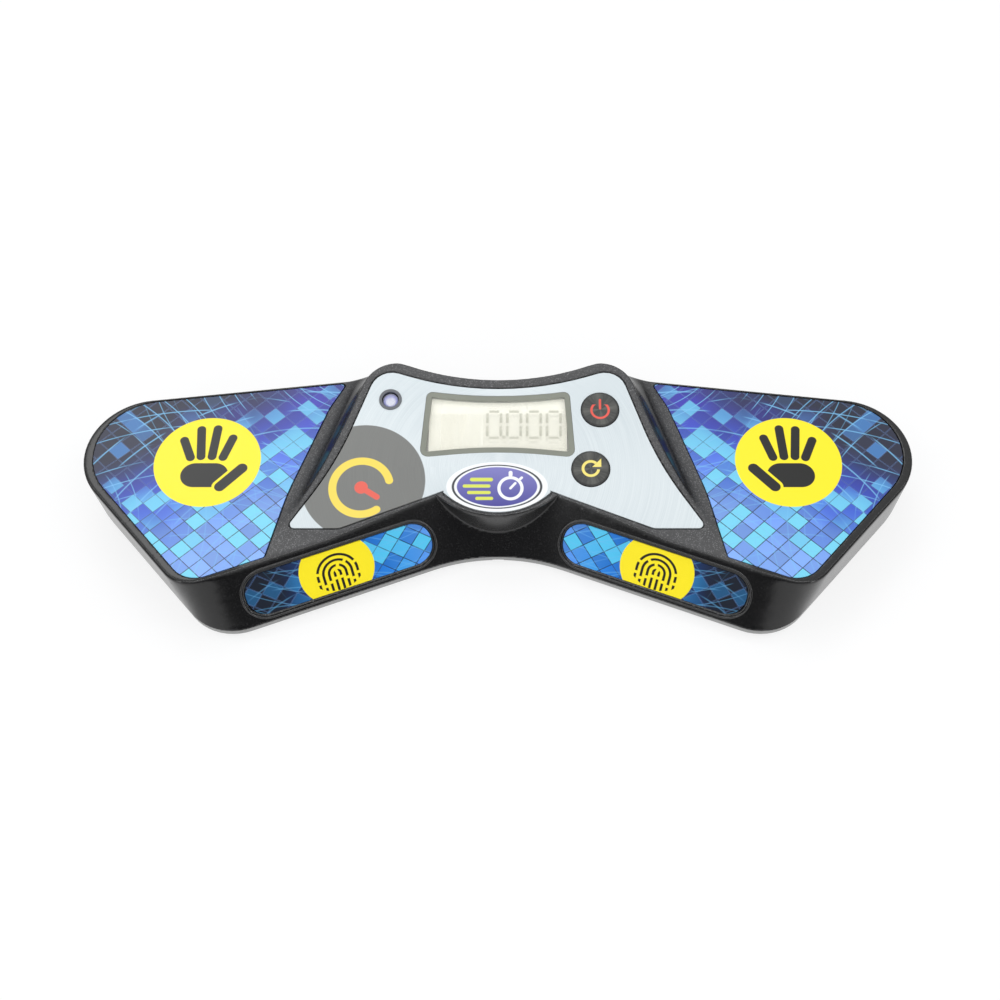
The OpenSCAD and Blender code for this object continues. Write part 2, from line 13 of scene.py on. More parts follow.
import bpy
import numpy as np
import openvdb
from mathutils import Euler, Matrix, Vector

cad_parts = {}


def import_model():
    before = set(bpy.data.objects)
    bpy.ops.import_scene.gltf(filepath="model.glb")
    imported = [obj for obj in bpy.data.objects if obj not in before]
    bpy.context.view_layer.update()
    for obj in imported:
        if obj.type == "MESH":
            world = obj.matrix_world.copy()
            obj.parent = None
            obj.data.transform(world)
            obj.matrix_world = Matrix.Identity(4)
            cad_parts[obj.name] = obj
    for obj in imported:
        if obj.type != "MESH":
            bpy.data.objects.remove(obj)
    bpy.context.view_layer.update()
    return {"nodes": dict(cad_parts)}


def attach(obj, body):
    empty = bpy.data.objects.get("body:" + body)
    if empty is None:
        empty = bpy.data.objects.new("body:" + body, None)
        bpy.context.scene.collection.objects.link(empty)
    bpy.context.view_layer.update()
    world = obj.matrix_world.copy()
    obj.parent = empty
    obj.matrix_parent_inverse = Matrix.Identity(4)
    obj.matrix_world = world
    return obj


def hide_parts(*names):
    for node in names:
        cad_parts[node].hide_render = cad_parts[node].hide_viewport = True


Number = Union[int, float, "Value"]
Point = tuple[float, float]
Corner = tuple[float, float, float]
Colour = tuple[float, float, float, float]
Paint = Union[Colour, bpy.types.NodeSocket]

LOG = logging.getLogger("timer")
MM = 0.001
POWER_AT: Point = (32.6, 23.6)
AGAIN_AT: Point = (29.4, 3.3)
LAMP_AT: Point = (-34.5, 27.2)


def srgb(red: int, green: int, blue: int) -> Colour:
    """The linear colour of a screen colour.

    Args:
        red: the red channel, from 0 to 255.
        green: the green channel.
        blue: the blue channel.

    Returns:
        The colour as light, opaque.
    """
    def linear(value: int) -> float:
        """One channel as light."""
        share = value / 255
        return share / 12.92 if share <= 0.04045 else ((share + 0.055) / 1.055) ** 2.4
    return (linear(red), linear(green), linear(blue), 1.0)


# ----------------------------------------------------------------- shader maths


class Value:
    """A number that varies over a surface, with Python's operators."""

    def __init__(self, shader: "Nodes", socket: bpy.types.NodeSocket) -> None:
        """Wraps the output socket of a node of that shader."""
        self.shader = shader
        self.socket = socket

    def __add__(self, other: Number) -> "Value":
        """Sum."""
        return self.shader.math("ADD", self, other)

    def __sub__(self, other: Number) -> "Value":
        """Difference."""
        return self.shader.math("SUBTRACT", self, other)

    def __mul__(self, other: Number) -> "Value":
        """Product."""
        return self.shader.math("MULTIPLY", self, other)

    def __truediv__(self, other: Number) -> "Value":
        """Quotient."""
        return self.shader.math("DIVIDE", self, other)

    def __rsub__(self, other: Number) -> "Value":
        """Difference with a plain number on the left."""
        return self.shader.math("SUBTRACT", other, self)

    def __rtruediv__(self, other: Number) -> "Value":
        """Quotient with a plain number on the left."""
        return self.shader.math("DIVIDE", other, self)

    def __abs__(self) -> "Value":
        """Size without sign."""
        return self.shader.math("ABSOLUTE", self)

    def __pow__(self, other: Number) -> "Value":
        """Power."""
        return self.shader.math("POWER", self, other)

    __radd__ = __add__
    __rmul__ = __mul__

    def floor(self) -> "Value":
        """The whole number below."""
        return self.shader.math("FLOOR", self)

    def part(self) -> "Value":
        """What is left above the whole number below."""
        return self.shader.math("FRACT", self)

    def low(self, other: Number) -> "Value":
        """The smaller of two."""
        return self.shader.math("MINIMUM", self, other)

    def high(self, other: Number) -> "Value":
        """The larger of two."""
        return self.shader.math("MAXIMUM", self, other)

    def ramp(self, start: float, end: float) -> "Value":
        """A smooth step from 0 at start to 1 at end."""
        t = self.shader.clamp((self - start) / (end - start))
        return t * t * (3 - 2 * t)

    def inside(self, soft: float = 0.12) -> "Value":
        """A mask of where a distance is below zero, with an edge that wide."""
        return self.shader.clamp(0.5 - self / soft)


def length(x: Value, y: Value) -> Value:
    """The length of a vector of two numbers."""
    return (x * x + y * y) ** 0.5


def capsule(x: Value, y: Value, start: Point, end: Point, r: float) -> Value:
    """Distance to a stroke with round ends.

    Args:
        x: place across.
        y: place up.
        start: where the stroke's middle line starts.
        end: where it ends.
        r: half the stroke's width.

    Returns:
        The distance, below zero on the stroke.
    """
    dx, dy = end[0] - start[0], end[1] - start[1]
    px, py = x - start[0], y - start[1]
    t = x.shader.clamp((px * dx + py * dy) / (dx * dx + dy * dy))
    return length(px - t * dx, py - t * dy) - r


def ring(x: Value, y: Value, radius: float, half: float) -> Value:
    """Distance to a ring round the origin, half as thick as twice that half."""
    return abs(length(x, y) - radius) - half


class Nodes:
    """A node tree under construction."""

    def __init__(self, owner: Union[bpy.types.Material, bpy.types.World]) -> None:
        """Starts with an empty tree.

        Args:
            owner: the material or world that has the tree.
        """
        owner.use_nodes = True
        self.tree = owner.node_tree
        self.tree.nodes.clear()

    def node(self, kind: str, settings: Optional[dict[str, Any]] = None,
             inputs: Optional[dict[Any, Any]] = None) -> bpy.types.Node:
        """Adds a node.

        Args:
            kind: the node's type.
            settings: its properties, set first.
            inputs: values or links of its sockets, by name or number.

        Returns:
            The node.
        """
        node = self.tree.nodes.new(kind)
        for key, value in (settings or {}).items():
            setattr(node, key, value)
        for key, value in (inputs or {}).items():
            self.join(node.inputs[key], value)
        return node

    def join(self, socket: bpy.types.NodeSocket, value: Any) -> None:
        """Sets an input socket, or links it.

        Args:
            socket: the input.
            value: what it gets: a plain value, an output socket or a Value.
        """
        if isinstance(value, Value):
            value = value.socket
        if isinstance(value, bpy.types.NodeSocket):
            self.tree.links.new(value, socket)
        else:
            socket.default_value = value

    def math(self, operation: str, *values: Number) -> Value:
        """A Math node of that operation."""
        node = self.node("ShaderNodeMath", {"operation": operation}, dict(enumerate(values)))
        return Value(self, node.outputs[0])

    def clamp(self, value: Value) -> Value:
        """The value held between 0 and 1."""
        return Value(self, self.node("ShaderNodeClamp", None, {0: value}).outputs[0])

    def angle(self, y: Value, x: Value) -> Value:
        """The angle of a vector, from -pi to pi."""
        return self.math("ARCTAN2", y, x)

    def split(self, vector: bpy.types.NodeSocket) -> tuple[Value, ...]:
        """The three numbers of a vector."""
        node = self.node("ShaderNodeSeparateXYZ", None, {0: vector})
        return tuple(Value(self, output) for output in node.outputs)

    def place(self) -> tuple[Value, ...]:
        """The point of the surface in millimetres."""
        coordinates = self.node("ShaderNodeTexCoord").outputs["Object"]
        return tuple(value / MM for value in self.split(coordinates))

    def vector(self, x: Number, y: Number, z: Number) -> bpy.types.NodeSocket:
        """A vector of three numbers."""
        return self.node("ShaderNodeCombineXYZ", None, {0: x, 1: y, 2: z}).outputs[0]

    def noise(self, vector: bpy.types.NodeSocket, scale: float, detail: float = 2.0,
              rough: float = 0.5) -> Value:
        """Smooth noise.

        Args:
            vector: the place, in millimetres.
            scale: waves for each millimetre.
            detail: how many finer layers it has.
            rough: how strong the finer layers are.

        Returns:
            Noise from 0 to 1.
        """
        node = self.node("ShaderNodeTexNoise", None, {
            "Vector": vector, "Scale": scale, "Detail": detail, "Roughness": rough})
        return Value(self, node.outputs[0])

    def chance(self, vector: bpy.types.NodeSocket) -> Value:
        """A random number from 0 to 1 for each vector."""
        node = self.node("ShaderNodeTexWhiteNoise", {"noise_dimensions": "3D"},
                         {"Vector": vector})
        return Value(self, node.outputs["Value"])

    def mix(self, share: Number, first: Paint, second: Paint,
            blend: str = "MIX") -> bpy.types.NodeSocket:
        """Two colours mixed.

        Args:
            share: how much of the second.
            first: the colour underneath.
            second: the colour on top.
            blend: the kind of mix.

        Returns:
            A colour socket.
        """
        node = self.node("ShaderNodeMix", {"data_type": "RGBA", "blend_type": blend},
                         {0: share, 6: first, 7: second})
        return node.outputs[2]

    def tint(self, colour: Paint, tone: Value) -> bpy.types.NodeSocket:
        """A colour made lighter or darker by a tone round 1."""
        return self.mix(1.0, colour, self.vector(tone, tone, tone), "MULTIPLY")

    def show(self, shader: bpy.types.NodeSocket) -> None:
        """Sends a shader to the tree's output."""
        kind = "World" if isinstance(self.tree.id_data, bpy.types.World) else "Material"
        self.node(f"ShaderNodeOutput{kind}", None, {"Surface": shader})

    def seen(self, *rays: str) -> Value:
        """A mask of some kinds of ray.

        Args:
            rays: the names of those kinds.

        Returns:
            1 for such a ray, else 0.
        """
        path = self.node("ShaderNodeLightPath")
        total = Value(self, path.outputs[f"Is {rays[0]} Ray"])
        for ray in rays[1:]:
            total = total + Value(self, path.outputs[f"Is {ray} Ray"])
        return self.clamp(total)


class Shader(Nodes):
    """A material under construction."""

    def __init__(self, name: str) -> None:
        """Starts a material with one Principled shader.

        Args:
            name: the material's name.
        """
        self.material = bpy.data.materials.new(name)
        super().__init__(self.material)
        self.surface = self.node("ShaderNodeBsdfPrincipled")

    def done(self) -> bpy.types.Material:
        """The finished material."""
        self.show(self.surface.outputs[0])
        return self.material

    def bump(self, height: Value, strength: float, distance: float) -> None:
        """Feeds the normal from a height.

        Args:
            height: the height, from 0 to 1.
            strength: how much of the effect is kept.
            distance: how far a height of 1 stands up, in millimetres.
        """
        node = self.node("ShaderNodeBump", None, {
            "Strength": strength, "Distance": distance * MM, "Height": height})
        self.set(Normal=node.outputs[0])

    def set(self, **sockets: Any) -> None:
        """Sets or links sockets of the Principled shader.

        Args:
            sockets: the values by socket name, with _ for a blank.
        """
        for name, value in sockets.items():
            self.join(self.surface.inputs[name.replace("_", " ")], value)


# ----------------------------------------------------------------- plain finishes


@dataclass(frozen=True)
class Moulded:
    """A moulded or coated surface of one colour with grain and slight mottling."""

    name: str
    colour: Colour
    rough: float = 0.5
    metal: float = 0.0
    grain: float = 0.25
    grain_size: float = 0.5
    grain_deep: float = 0.05
    mottle: float = 0.12
    specular: float = 0.5

    def make(self) -> bpy.types.Material:
        """Builds the material.

        Returns:
            The material.
        """
        s = Shader(self.name)
        at = s.vector(*s.place())
        fine = s.noise(at, 1 / self.grain_size, 2.0)
        broad = s.noise(at, 0.08, 3.0)
        tone = 1 + (broad - 0.5) * self.mottle * 2 + (fine - 0.5) * self.mottle
        rough = self.rough + (broad - 0.5) * 0.12 + (fine - 0.5) * 0.1
        s.set(Base_Color=s.tint(self.colour, tone), Metallic=self.metal,
              Roughness=s.clamp(rough), Specular_IOR_Level=self.specular)
        s.bump(fine, self.grain, self.grain_deep)
        return s.done()


@dataclass(frozen=True)
class FlakeSatin:
    """Black plastic: grainy satin where it faces up, smooth and glossy on the sides. Faces
    that look up are painted a lighter grey with more flakes, as painted light from above.

    The satin fades out from the first distance in wing_x to the second.
    """

    name: str = "charcoal_satin"
    # side is the plastic's near-black; top is the same plastic painted lighter grey where it
    # faces up, as painted light from above
    side: Colour = srgb(11, 11, 12)
    top: Colour = srgb(64, 64, 65)
    flake: Colour = srgb(190, 190, 192)
    side_rough: float = 0.2
    top_rough: float = 0.46
    flakes_per_mm: float = 4.2
    side_flakes: float = 0.022
    top_flakes: float = 0.22
    facing_up: Point = (0.8, 0.96)
    wing_x: Point = (76.0, 80.0)

    def make(self) -> bpy.types.Material:
        """Builds the material.

        Returns:
            The material.
        """
        s = Shader(self.name)
        x, y, z = s.place()
        at = s.vector(x, y, z)
        cells = s.node("ShaderNodeTexVoronoi", {"feature": "F1"},
                       {"Vector": at, "Scale": self.flakes_per_mm})
        spark = Value(s, s.node("ShaderNodeSeparateColor", None,
                                {0: cells.outputs["Color"]}).outputs[0])
        normal = s.split(s.node("ShaderNodeNewGeometry").outputs["Normal"])
        # upward: how far a face looks up, fading out on the wings; it paints the lighter
        # grey top light and makes the satin rougher
        upward = normal[2].ramp(*self.facing_up) * (1 - abs(x).ramp(*self.wing_x))
        broad, fine = s.noise(at, 0.05, 3.0), s.noise(at, 2.2, 3.0)
        # the flakes are the plastic's own speckle, painted stronger where it faces up as
        # part of the top light
        flakes = spark.ramp(0.75, 1.0) * (self.side_flakes + upward * self.top_flakes)
        # painted top light: faces that look up take the lighter grey
        shade = s.mix(flakes, s.mix(upward, self.side, self.top), self.flake)
        rough = self.side_rough + (self.top_rough - self.side_rough) * upward
        rough = rough + (broad - 0.5) * 0.08 + (fine - 0.5) * 0.1
        s.set(Base_Color=s.tint(shade, 0.85 + broad * 0.3), Roughness=s.clamp(rough))
        s.bump((fine + spark * 0.3) * (0.06 + upward * 0.94), 0.3, 0.06)
        return s.done()


@dataclass(frozen=True)
class Clear:
    """Clear moulded plastic seen through by alpha."""

    name: str
    colour: Colour
    alpha: float
    rough: float = 0.06

    def make(self) -> bpy.types.Material:
        """Builds the material.

        Returns:
            The material.
        """
        s = Shader(self.name)
        haze = s.noise(s.vector(*s.place()), 0.4, 2.0)
        s.set(Base_Color=self.colour, Roughness=s.clamp(self.rough + haze * 0.05),
              Alpha=self.alpha)
        return s.done()


# ----------------------------------------------------------------- printed pads


@dataclass(frozen=True)
class Wash:
    """A soft change of colour over a pad, along a slanted line that noise stirs."""

    along: float
    up: float
    shift: float
    stir: float
    span: Point

    def share(self, u: Value, v: Value, noise: Value) -> Value:
        """How far the change has gone at a place on the pad, from 0 to 1."""
        slant = u * self.along + v * self.up + self.shift
        return (slant + (noise - 0.5) * self.stir).ramp(*self.span)


@dataclass(frozen=True)
class Rays:
    """Fine arcs at equal steps round a far middle, between two distances from it."""

    middle: Point
    step: float
    near: float
    far: float

    def mask(self, s: Shader, u: Value, v: Value) -> Value:
        """Where the arcs are.

        Args:
            s: the shader.
            u: place outwards on the pad.
            v: place upwards on the pad.

        Returns:
            1 on an arc, fading to 0 at its ends and in patches.
        """
        reach = length(u - self.middle[0], v - self.middle[1])
        line = (abs((reach / self.step).part() - 0.5) - 0.03).inside(0.035)
        start = reach.ramp(self.near - 6, self.near + 6)
        end = 1 - reach.ramp(self.far - 8, self.far + 8)
        patch = s.noise(s.vector(u, v, self.middle[0]), 0.06, 1.0).ramp(0.42, 0.56)
        return line * (start * end) * patch


@dataclass(frozen=True)
class TilePrint:
    """Glossy film printed with a mosaic of blue tiles, fine arcs and a yellow disc."""

    name: str
    disc: Point
    disc_r: float
    dusk: Wash
    dawn: Wash
    shine: Wash
    seed: float
    shine_share: float
    dusk_loss: float
    night: Colour
    indigo: Colour
    azure: Colour
    cyan: Colour
    sky: Colour = srgb(126, 166, 232)
    yellow: Colour = srgb(252, 232, 30)
    ink: Colour = srgb(22, 22, 20)
    tile: float = 4.9
    stretch: float = 1.04
    rough: float = 0.34
    rays: tuple[Rays, ...] = (
        Rays((38.0, 66.0), 4.6, 20, 84), Rays((150.0, -18.0), 5.2, 26, 78),
        Rays((92.0, -74.0), 5.9, 48, 124), Rays((60.0, -40.0), 7.3, 20, 90))

    def on_pad(self, x: Value, y: Value, z: Value) -> tuple[Value, Value]:
        """A place on the pad, outwards and upwards; here the pad lies flat."""
        return abs(x), y

    def mark(self, s: Shader, x: Value, y: Value) -> Value:
        """Distance to the sign on the disc."""
        raise NotImplementedError

    def glint(self, dusk: Value, dawn: Value) -> Value:
        """How bright the fine arcs are."""
        raise NotImplementedError

    def make(self) -> bpy.types.Material:
        """Builds the material.

        Returns:
            The material.
        """
        s = Shader(self.name)
        x, y, z = s.place()
        u, v = self.on_pad(x, y, z)
        dx, dy = u - self.disc[0], v - self.disc[1]
        disc = (length(dx, dy) - self.disc_r).inside(0.2)
        shade = s.mix(disc, self.mosaic(s, u, v), self.yellow)
        shade = s.mix(disc * self.mark(s, dx, dy).inside(0.16), shade, self.ink)
        at = s.vector(x, y, z)
        wave, fine = s.noise(at, 0.06, 2.0), s.noise(at, 3.0, 2.0)
        rough = self.rough + (wave - 0.5) * 0.1 + (fine - 0.5) * 0.06
        s.set(Base_Color=shade, Roughness=s.clamp(rough), Coat_Weight=0.2,
              Coat_Roughness=0.14, Specular_IOR_Level=0.3)
        s.bump(fine, 0.05, 0.03)
        return s.done()

    def mosaic(self, s: Shader, u: Value, v: Value) -> bpy.types.NodeSocket:
        """The tile pattern's colour.

        Args:
            s: the shader.
            u: place outwards from the middle of the timer.
            v: place upwards on the pad.

        Returns:
            A colour socket.
        """
        side = self.tile * math.sqrt(2)
        a, b = (u + v * self.stretch) / side, (u - v * self.stretch) / side
        cell_a, cell_b = a.floor(), b.floor()
        edge = (abs(a.part() - 0.5)).high(abs(b.part() - 0.5))
        luck = s.chance(s.vector(cell_a, cell_b, self.seed))
        other = s.chance(s.vector(cell_b, cell_a, 11.3))
        noise = s.noise(s.vector(u, v, 2.0), 0.045, 2.0)
        dusk, dawn, shine = (wash.share(u, v, noise)
                             for wash in (self.dusk, self.dawn, self.shine))
        shade = s.mix(dusk, self.indigo, self.night)
        shade = s.mix(dawn, shade, self.azure)
        shade = s.mix(shine * self.shine_share, shade, self.sky)
        shade = s.tint(shade, 0.78 + other * 0.44)
        shade = s.mix(luck.ramp(0.3, 1.0) * 0.4 * (1 - dusk), shade, self.azure)
        keep = 0.75 + 0.25 * dawn - self.dusk_loss * dusk
        lit = (luck * 0.7 + other * 0.3 + dawn * 0.08 - dusk * 0.09).ramp(0.66, 0.76)
        shade = s.mix(lit * keep * 0.95, shade, s.mix(dusk * 0.7, self.cyan, self.azure))
        gap = edge.ramp(0.462, 0.476)
        shade = s.mix(gap * (0.2 + 0.66 * dawn), shade, self.night)
        web = edge.ramp(0.458, 0.47) * (1 - edge.ramp(0.474, 0.486))
        shade = s.mix(web * 0.42 * (1 - dawn), shade, self.sky)
        bright = self.glint(dusk, dawn)
        for rays in self.rays:
            shade = s.mix(rays.mask(s, u, v) * bright, shade,
                          s.mix(0.5, self.sky, self.cyan))
        return shade


@dataclass(frozen=True)
class HandPadPrint(TilePrint):
    """The print of a hand pad, dark at its outer rear and light at its front."""

    name: str = "hand_print"
    disc: Point = (92.6, 9.0)
    disc_r: float = 17.0
    dusk: Wash = Wash(0.7, 1.0, -77.2, 40.0, (-16, 22))
    dawn: Wash = Wash(-0.4, -1.0, 36.8, 26.0, (-22, 16))
    shine: Wash = Wash(-0.5, -1.0, 45.0, 20.0, (-10, 26))
    seed: float = 3.7
    shine_share: float = 0.85
    dusk_loss: float = 0.15
    night: Colour = srgb(38, 42, 62)
    indigo: Colour = srgb(54, 52, 172)
    azure: Colour = srgb(58, 110, 216)
    cyan: Colour = srgb(116, 210, 236)
    sign_size: float = 1.14

    def mark(self, s: Shader, x: Value, y: Value) -> Value:
        """Distance to an open hand with free fingers, thumb to the middle.

        Args:
            s: the shader; not used.
            x: place outwards from the disc's middle.
            y: place upwards from it.

        Returns:
            The distance, below zero on the hand.
        """
        x, y = x / self.sign_size, y / self.sign_size
        thumb = capsule(x, y, (-4.4, -8.3), (-9.9, -2.2), 1.55)
        palm = capsule(x, y, (-2.3, -4.5), (3.0, -4.5), 4.0)
        hand = thumb.low(palm.high(0.75 - thumb))
        for start, end in (((-4.2, 1.5), (-6.3, 8.0)), ((-1.1, 1.75), (-1.7, 11.2)),
                           ((2.0, 1.75), (2.9, 10.9)), ((4.9, 1.4), (7.3, 7.2))):
            hand = hand.low(capsule(x, y, start, end, 1.25))
        return hand

    def glint(self, dusk: Value, dawn: Value) -> Value:
        """How bright the fine arcs are."""
        return 0.75 - 0.4 * dawn


@dataclass(frozen=True)
class FrontFace:
    """The sloped front face as a plane: x along, y up, its origin at the middle."""

    turn: float = 21.3
    slope: float = 56.5
    foot: tuple[float, float, float] = (0.0, 0.0, 4.0)

    def axes(self) -> np.ndarray:
        """The face's axes on the right half.

        Returns:
            Rows: along, up and out.
        """
        a, s = math.radians(self.turn), math.radians(self.slope)
        return np.array([
            [math.cos(a), -math.sin(a), 0.0],
            [math.sin(a) * math.cos(s), math.cos(a) * math.cos(s), math.sin(s)],
            [-math.sin(a) * math.sin(s), -math.cos(a) * math.sin(s), math.cos(s)]])


@dataclass(frozen=True)
class FingerPadPrint(TilePrint):
    """The print of a finger pad, dark at its outer end and light at its inner end."""

    name: str = "finger_print"
    disc: Point = (55.7, 9.85)
    disc_r: float = 11.94
    dusk: Wash = Wash(1.0, 0.0, 0.0, 16.0, (44, 78))
    dawn: Wash = Wash(-1.0, 0.0, 0.0, 16.0, (-60, -34))
    shine: Wash = Wash(-1.0, 0.0, 0.0, 0.0, (-44, -18))
    seed: float = 8.1
    shine_share: float = 0.51
    dusk_loss: float = 0.5
    night: Colour = srgb(14, 24, 40)
    indigo: Colour = srgb(20, 70, 160)
    azure: Colour = srgb(24, 128, 224)
    cyan: Colour = srgb(84, 200, 240)
    face: FrontFace = FrontFace()
    arch_step: float = 1.8
    arch_half: float = 0.41
    arch_reach: float = 7.2

    def on_pad(self, x: Value, y: Value, z: Value) -> tuple[Value, Value]:
        """A place on the sloped pad, outwards and upwards.

        Args:
            x: place across the timer.
            y: place towards its back.
            z: height.

        Returns:
            The place along the front face and up it.
        """
        along, up, _ = self.face.axes()
        foot = self.face.foot
        px, py, pz = abs(x) - foot[0], y - foot[1], z - foot[2]
        return px * along[0] + py * along[1], px * up[0] + py * up[1] + pz * up[2]

    def mark(self, s: Shader, x: Value, y: Value) -> Value:
        """Distance to nested arches with gaps, a plain sign for a fingertip.

        Args:
            s: the shader.
            x: place outwards from the disc's middle.
            y: place upwards from it.

        Returns:
            The distance, below zero on the lines.
        """
        legs = (y + 1.0).high(0)
        reach = length(x, legs)
        line = abs((reach / self.arch_step).part() - 0.5) * self.arch_step
        band = (reach / self.arch_step).floor()
        turn = s.angle(legs + 0.01, x) + band * 2.1
        arc_gap = (0.5 - abs((turn / 2.6).part() - 0.5) * reach * 2.6) - (-1.0 - y).high(0)
        leg_gap = 0.5 - abs(y + 2.6 + (band * 0.37).part() * 2.4)
        oval = length(x / 8.6, y / 7.0) * 7.0 - 7.0
        arches = (line - self.arch_half).high(arc_gap).high(leg_gap)
        return arches.high(oval).high(reach - self.arch_reach)

    def glint(self, dusk: Value, dawn: Value) -> Value:
        """How bright the fine arcs are."""
        return 0.4 - 0.1 * dusk


# ----------------------------------------------------------------- display finishes


@dataclass(frozen=True)
class Display:
    """The tilted display face as a plane: x across, y up, its origin where given."""

    tilt: float = 10.0
    line_y: float = -19.6
    wing_z: float = 21.5

    def height(self, y: Any) -> Any:
        """Height of the face over a point."""
        return self.wing_z + (y - self.line_y) * math.tan(math.radians(self.tilt))

    def up(self, y: Value, origin: float) -> Value:
        """Distance up the face from a point at that y in plan."""
        return (y - origin) / math.cos(math.radians(self.tilt))


@dataclass(frozen=True)
class SpunSilver:
    """Pale silver sheet, spun-brushed round the middle, with a painted sheen of four bright
    fans round that middle, a dark disc and badge.
    """

    name: str = "spun_silver"
    face: Display = Display()
    spin_y: float = 4.0
    silver: Colour = srgb(213, 221, 224)
    # bright and dim: the light and dark hairs of the brushing, and the painted sheen from
    # dim to bright
    bright: Colour = srgb(240, 245, 246)
    dim: Colour = srgb(186, 197, 202)
    disc_at: Point = (-42.0, -5.0)
    disc_r: float = 19.5
    disc: Colour = srgb(112, 113, 111)
    disc_light: Colour = srgb(126, 127, 124)
    dial_off: Point = (0.5, 2.0)
    dial_r: float = 9.0
    dial_half: float = 1.25
    dial_gap: float = 0.62
    dial_gap_at: float = -0.35
    badge_at: Point = (0.0, -6.7)
    badge_half: Point = (14.0, 7.4)
    watch_off: Point = (-4.2, 0.55)
    indigo: Colour = srgb(70, 68, 146)
    violet: Colour = srgb(128, 126, 190)
    lime: Colour = srgb(214, 222, 92)
    ink: Colour = srgb(52, 54, 60)
    pale: Colour = srgb(240, 242, 244)
    amber: Colour = srgb(240, 214, 92)
    coral: Colour = srgb(226, 100, 86)

    def make(self) -> bpy.types.Material:
        """Builds the material.

        Returns:
            The material.
        """
        s = Shader(self.name)
        x, y, _ = s.place()
        v = self.face.up(y, self.spin_y)
        reach, turn = length(x, v), s.angle(v, x)
        hair = s.noise(s.vector(reach * 4.5, turn * 1.4, 1.0), 1.0, 3.0, 0.6)
        # painted sheen: four bright fans round the spin's middle, as light on spun metal
        painted_sheen = s.math("COSINE", turn * 4 + 0.6) * 0.5 + 0.5
        shade = s.mix(hair.ramp(0.3, 0.75) * 0.45 + painted_sheen * 0.25, self.dim, self.bright)
        shade = s.mix(0.5, shade, self.silver)
        shade = self.dial(s, x - self.disc_at[0], v - self.disc_at[1], hair, shade)
        shade = self.badge(s, x - self.badge_at[0], v - self.badge_at[1], shade)
        s.set(Base_Color=shade, Metallic=0.15,
              Roughness=s.clamp(0.33 + (hair - 0.5) * 0.2))
        s.bump(hair, 0.06, 0.02)
        return s.done()

    def dial(self, s: Shader, x: Value, y: Value, hair: Value,
             under: Paint) -> bpy.types.NodeSocket:
        """The dark disc with a plain dial sign: an amber arc and a coral hand.

        Args:
            s: the shader.
            x: place across from the disc's middle.
            y: place up from it.
            hair: the brushing.
            under: the colour round the disc.

        Returns:
            A colour socket.
        """
        shade = s.mix((length(x, y) - self.disc_r).inside(0.2), under,
                      s.mix(hair, self.disc, self.disc_light))
        px, py = x + self.dial_off[0], y + self.dial_off[1]
        gap = (self.dial_gap - abs(s.angle(py, px) - self.dial_gap_at)) * self.dial_r
        arc = ring(px, py, self.dial_r, self.dial_half).high(gap)
        for turn in (self.dial_gap_at + self.dial_gap, self.dial_gap_at - self.dial_gap):
            end_x, end_y = self.dial_r * math.cos(turn), self.dial_r * math.sin(turn)
            arc = arc.low(length(px - end_x, py - end_y) - self.dial_half)
        shade = s.mix(arc.inside(0.15), shade, self.amber)
        hand = capsule(px, py, (0.0, 0.0), (5.0, -3.2), 0.95).low(length(px, py) - 2.1)
        return s.mix(hand.inside(0.15), shade, self.coral)

    def badge(self, s: Shader, x: Value, y: Value,
              under: Paint) -> bpy.types.NodeSocket:
        """An oval badge with a plain stopwatch sign and strokes for haste.

        Args:
            s: the shader.
            x: place across from the badge's middle.
            y: place up from it.
            under: the colour round the badge.

        Returns:
            A colour socket.
        """
        half_x, half_y = self.badge_half
        oval = (length(x / half_x, y / half_y) - 1) * half_y
        blue = s.mix(s.clamp(y * 0.07 + 0.5), self.indigo, self.violet)
        shade = under
        for inset, paint in ((-1.0, self.pale), (-0.1, self.ink), (0.3, self.pale),
                             (0.75, blue)):
            shade = s.mix((oval + inset).inside(0.15), shade, paint)
        px, py = x + self.watch_off[0], y + self.watch_off[1]
        watch = ring(px, py, 3.6, 0.5)
        for start, end, r in (((0.0, 4.5), (0.0, 5.3), 0.62), ((3.0, 3.1), (3.5, 3.6), 0.42),
                              ((0.0, 0.0), (1.5, 1.7), 0.4)):
            watch = watch.low(capsule(px, py, start, end, r))
        shade = s.mix(watch.inside(0.14), shade, self.pale)
        haste = capsule(x, y, (-7.9, 2.4), (-1.9, 2.4), 0.62)
        for start, end, level in ((-10.2, -2.6, 0.2), (-8.8, -2.5, -2.0),
                                  (-6.2, -1.7, -4.0)):
            haste = haste.low(capsule(x, y, (start, level), (end, level), 0.55))
        return s.mix(haste.inside(0.14), shade, self.lime)


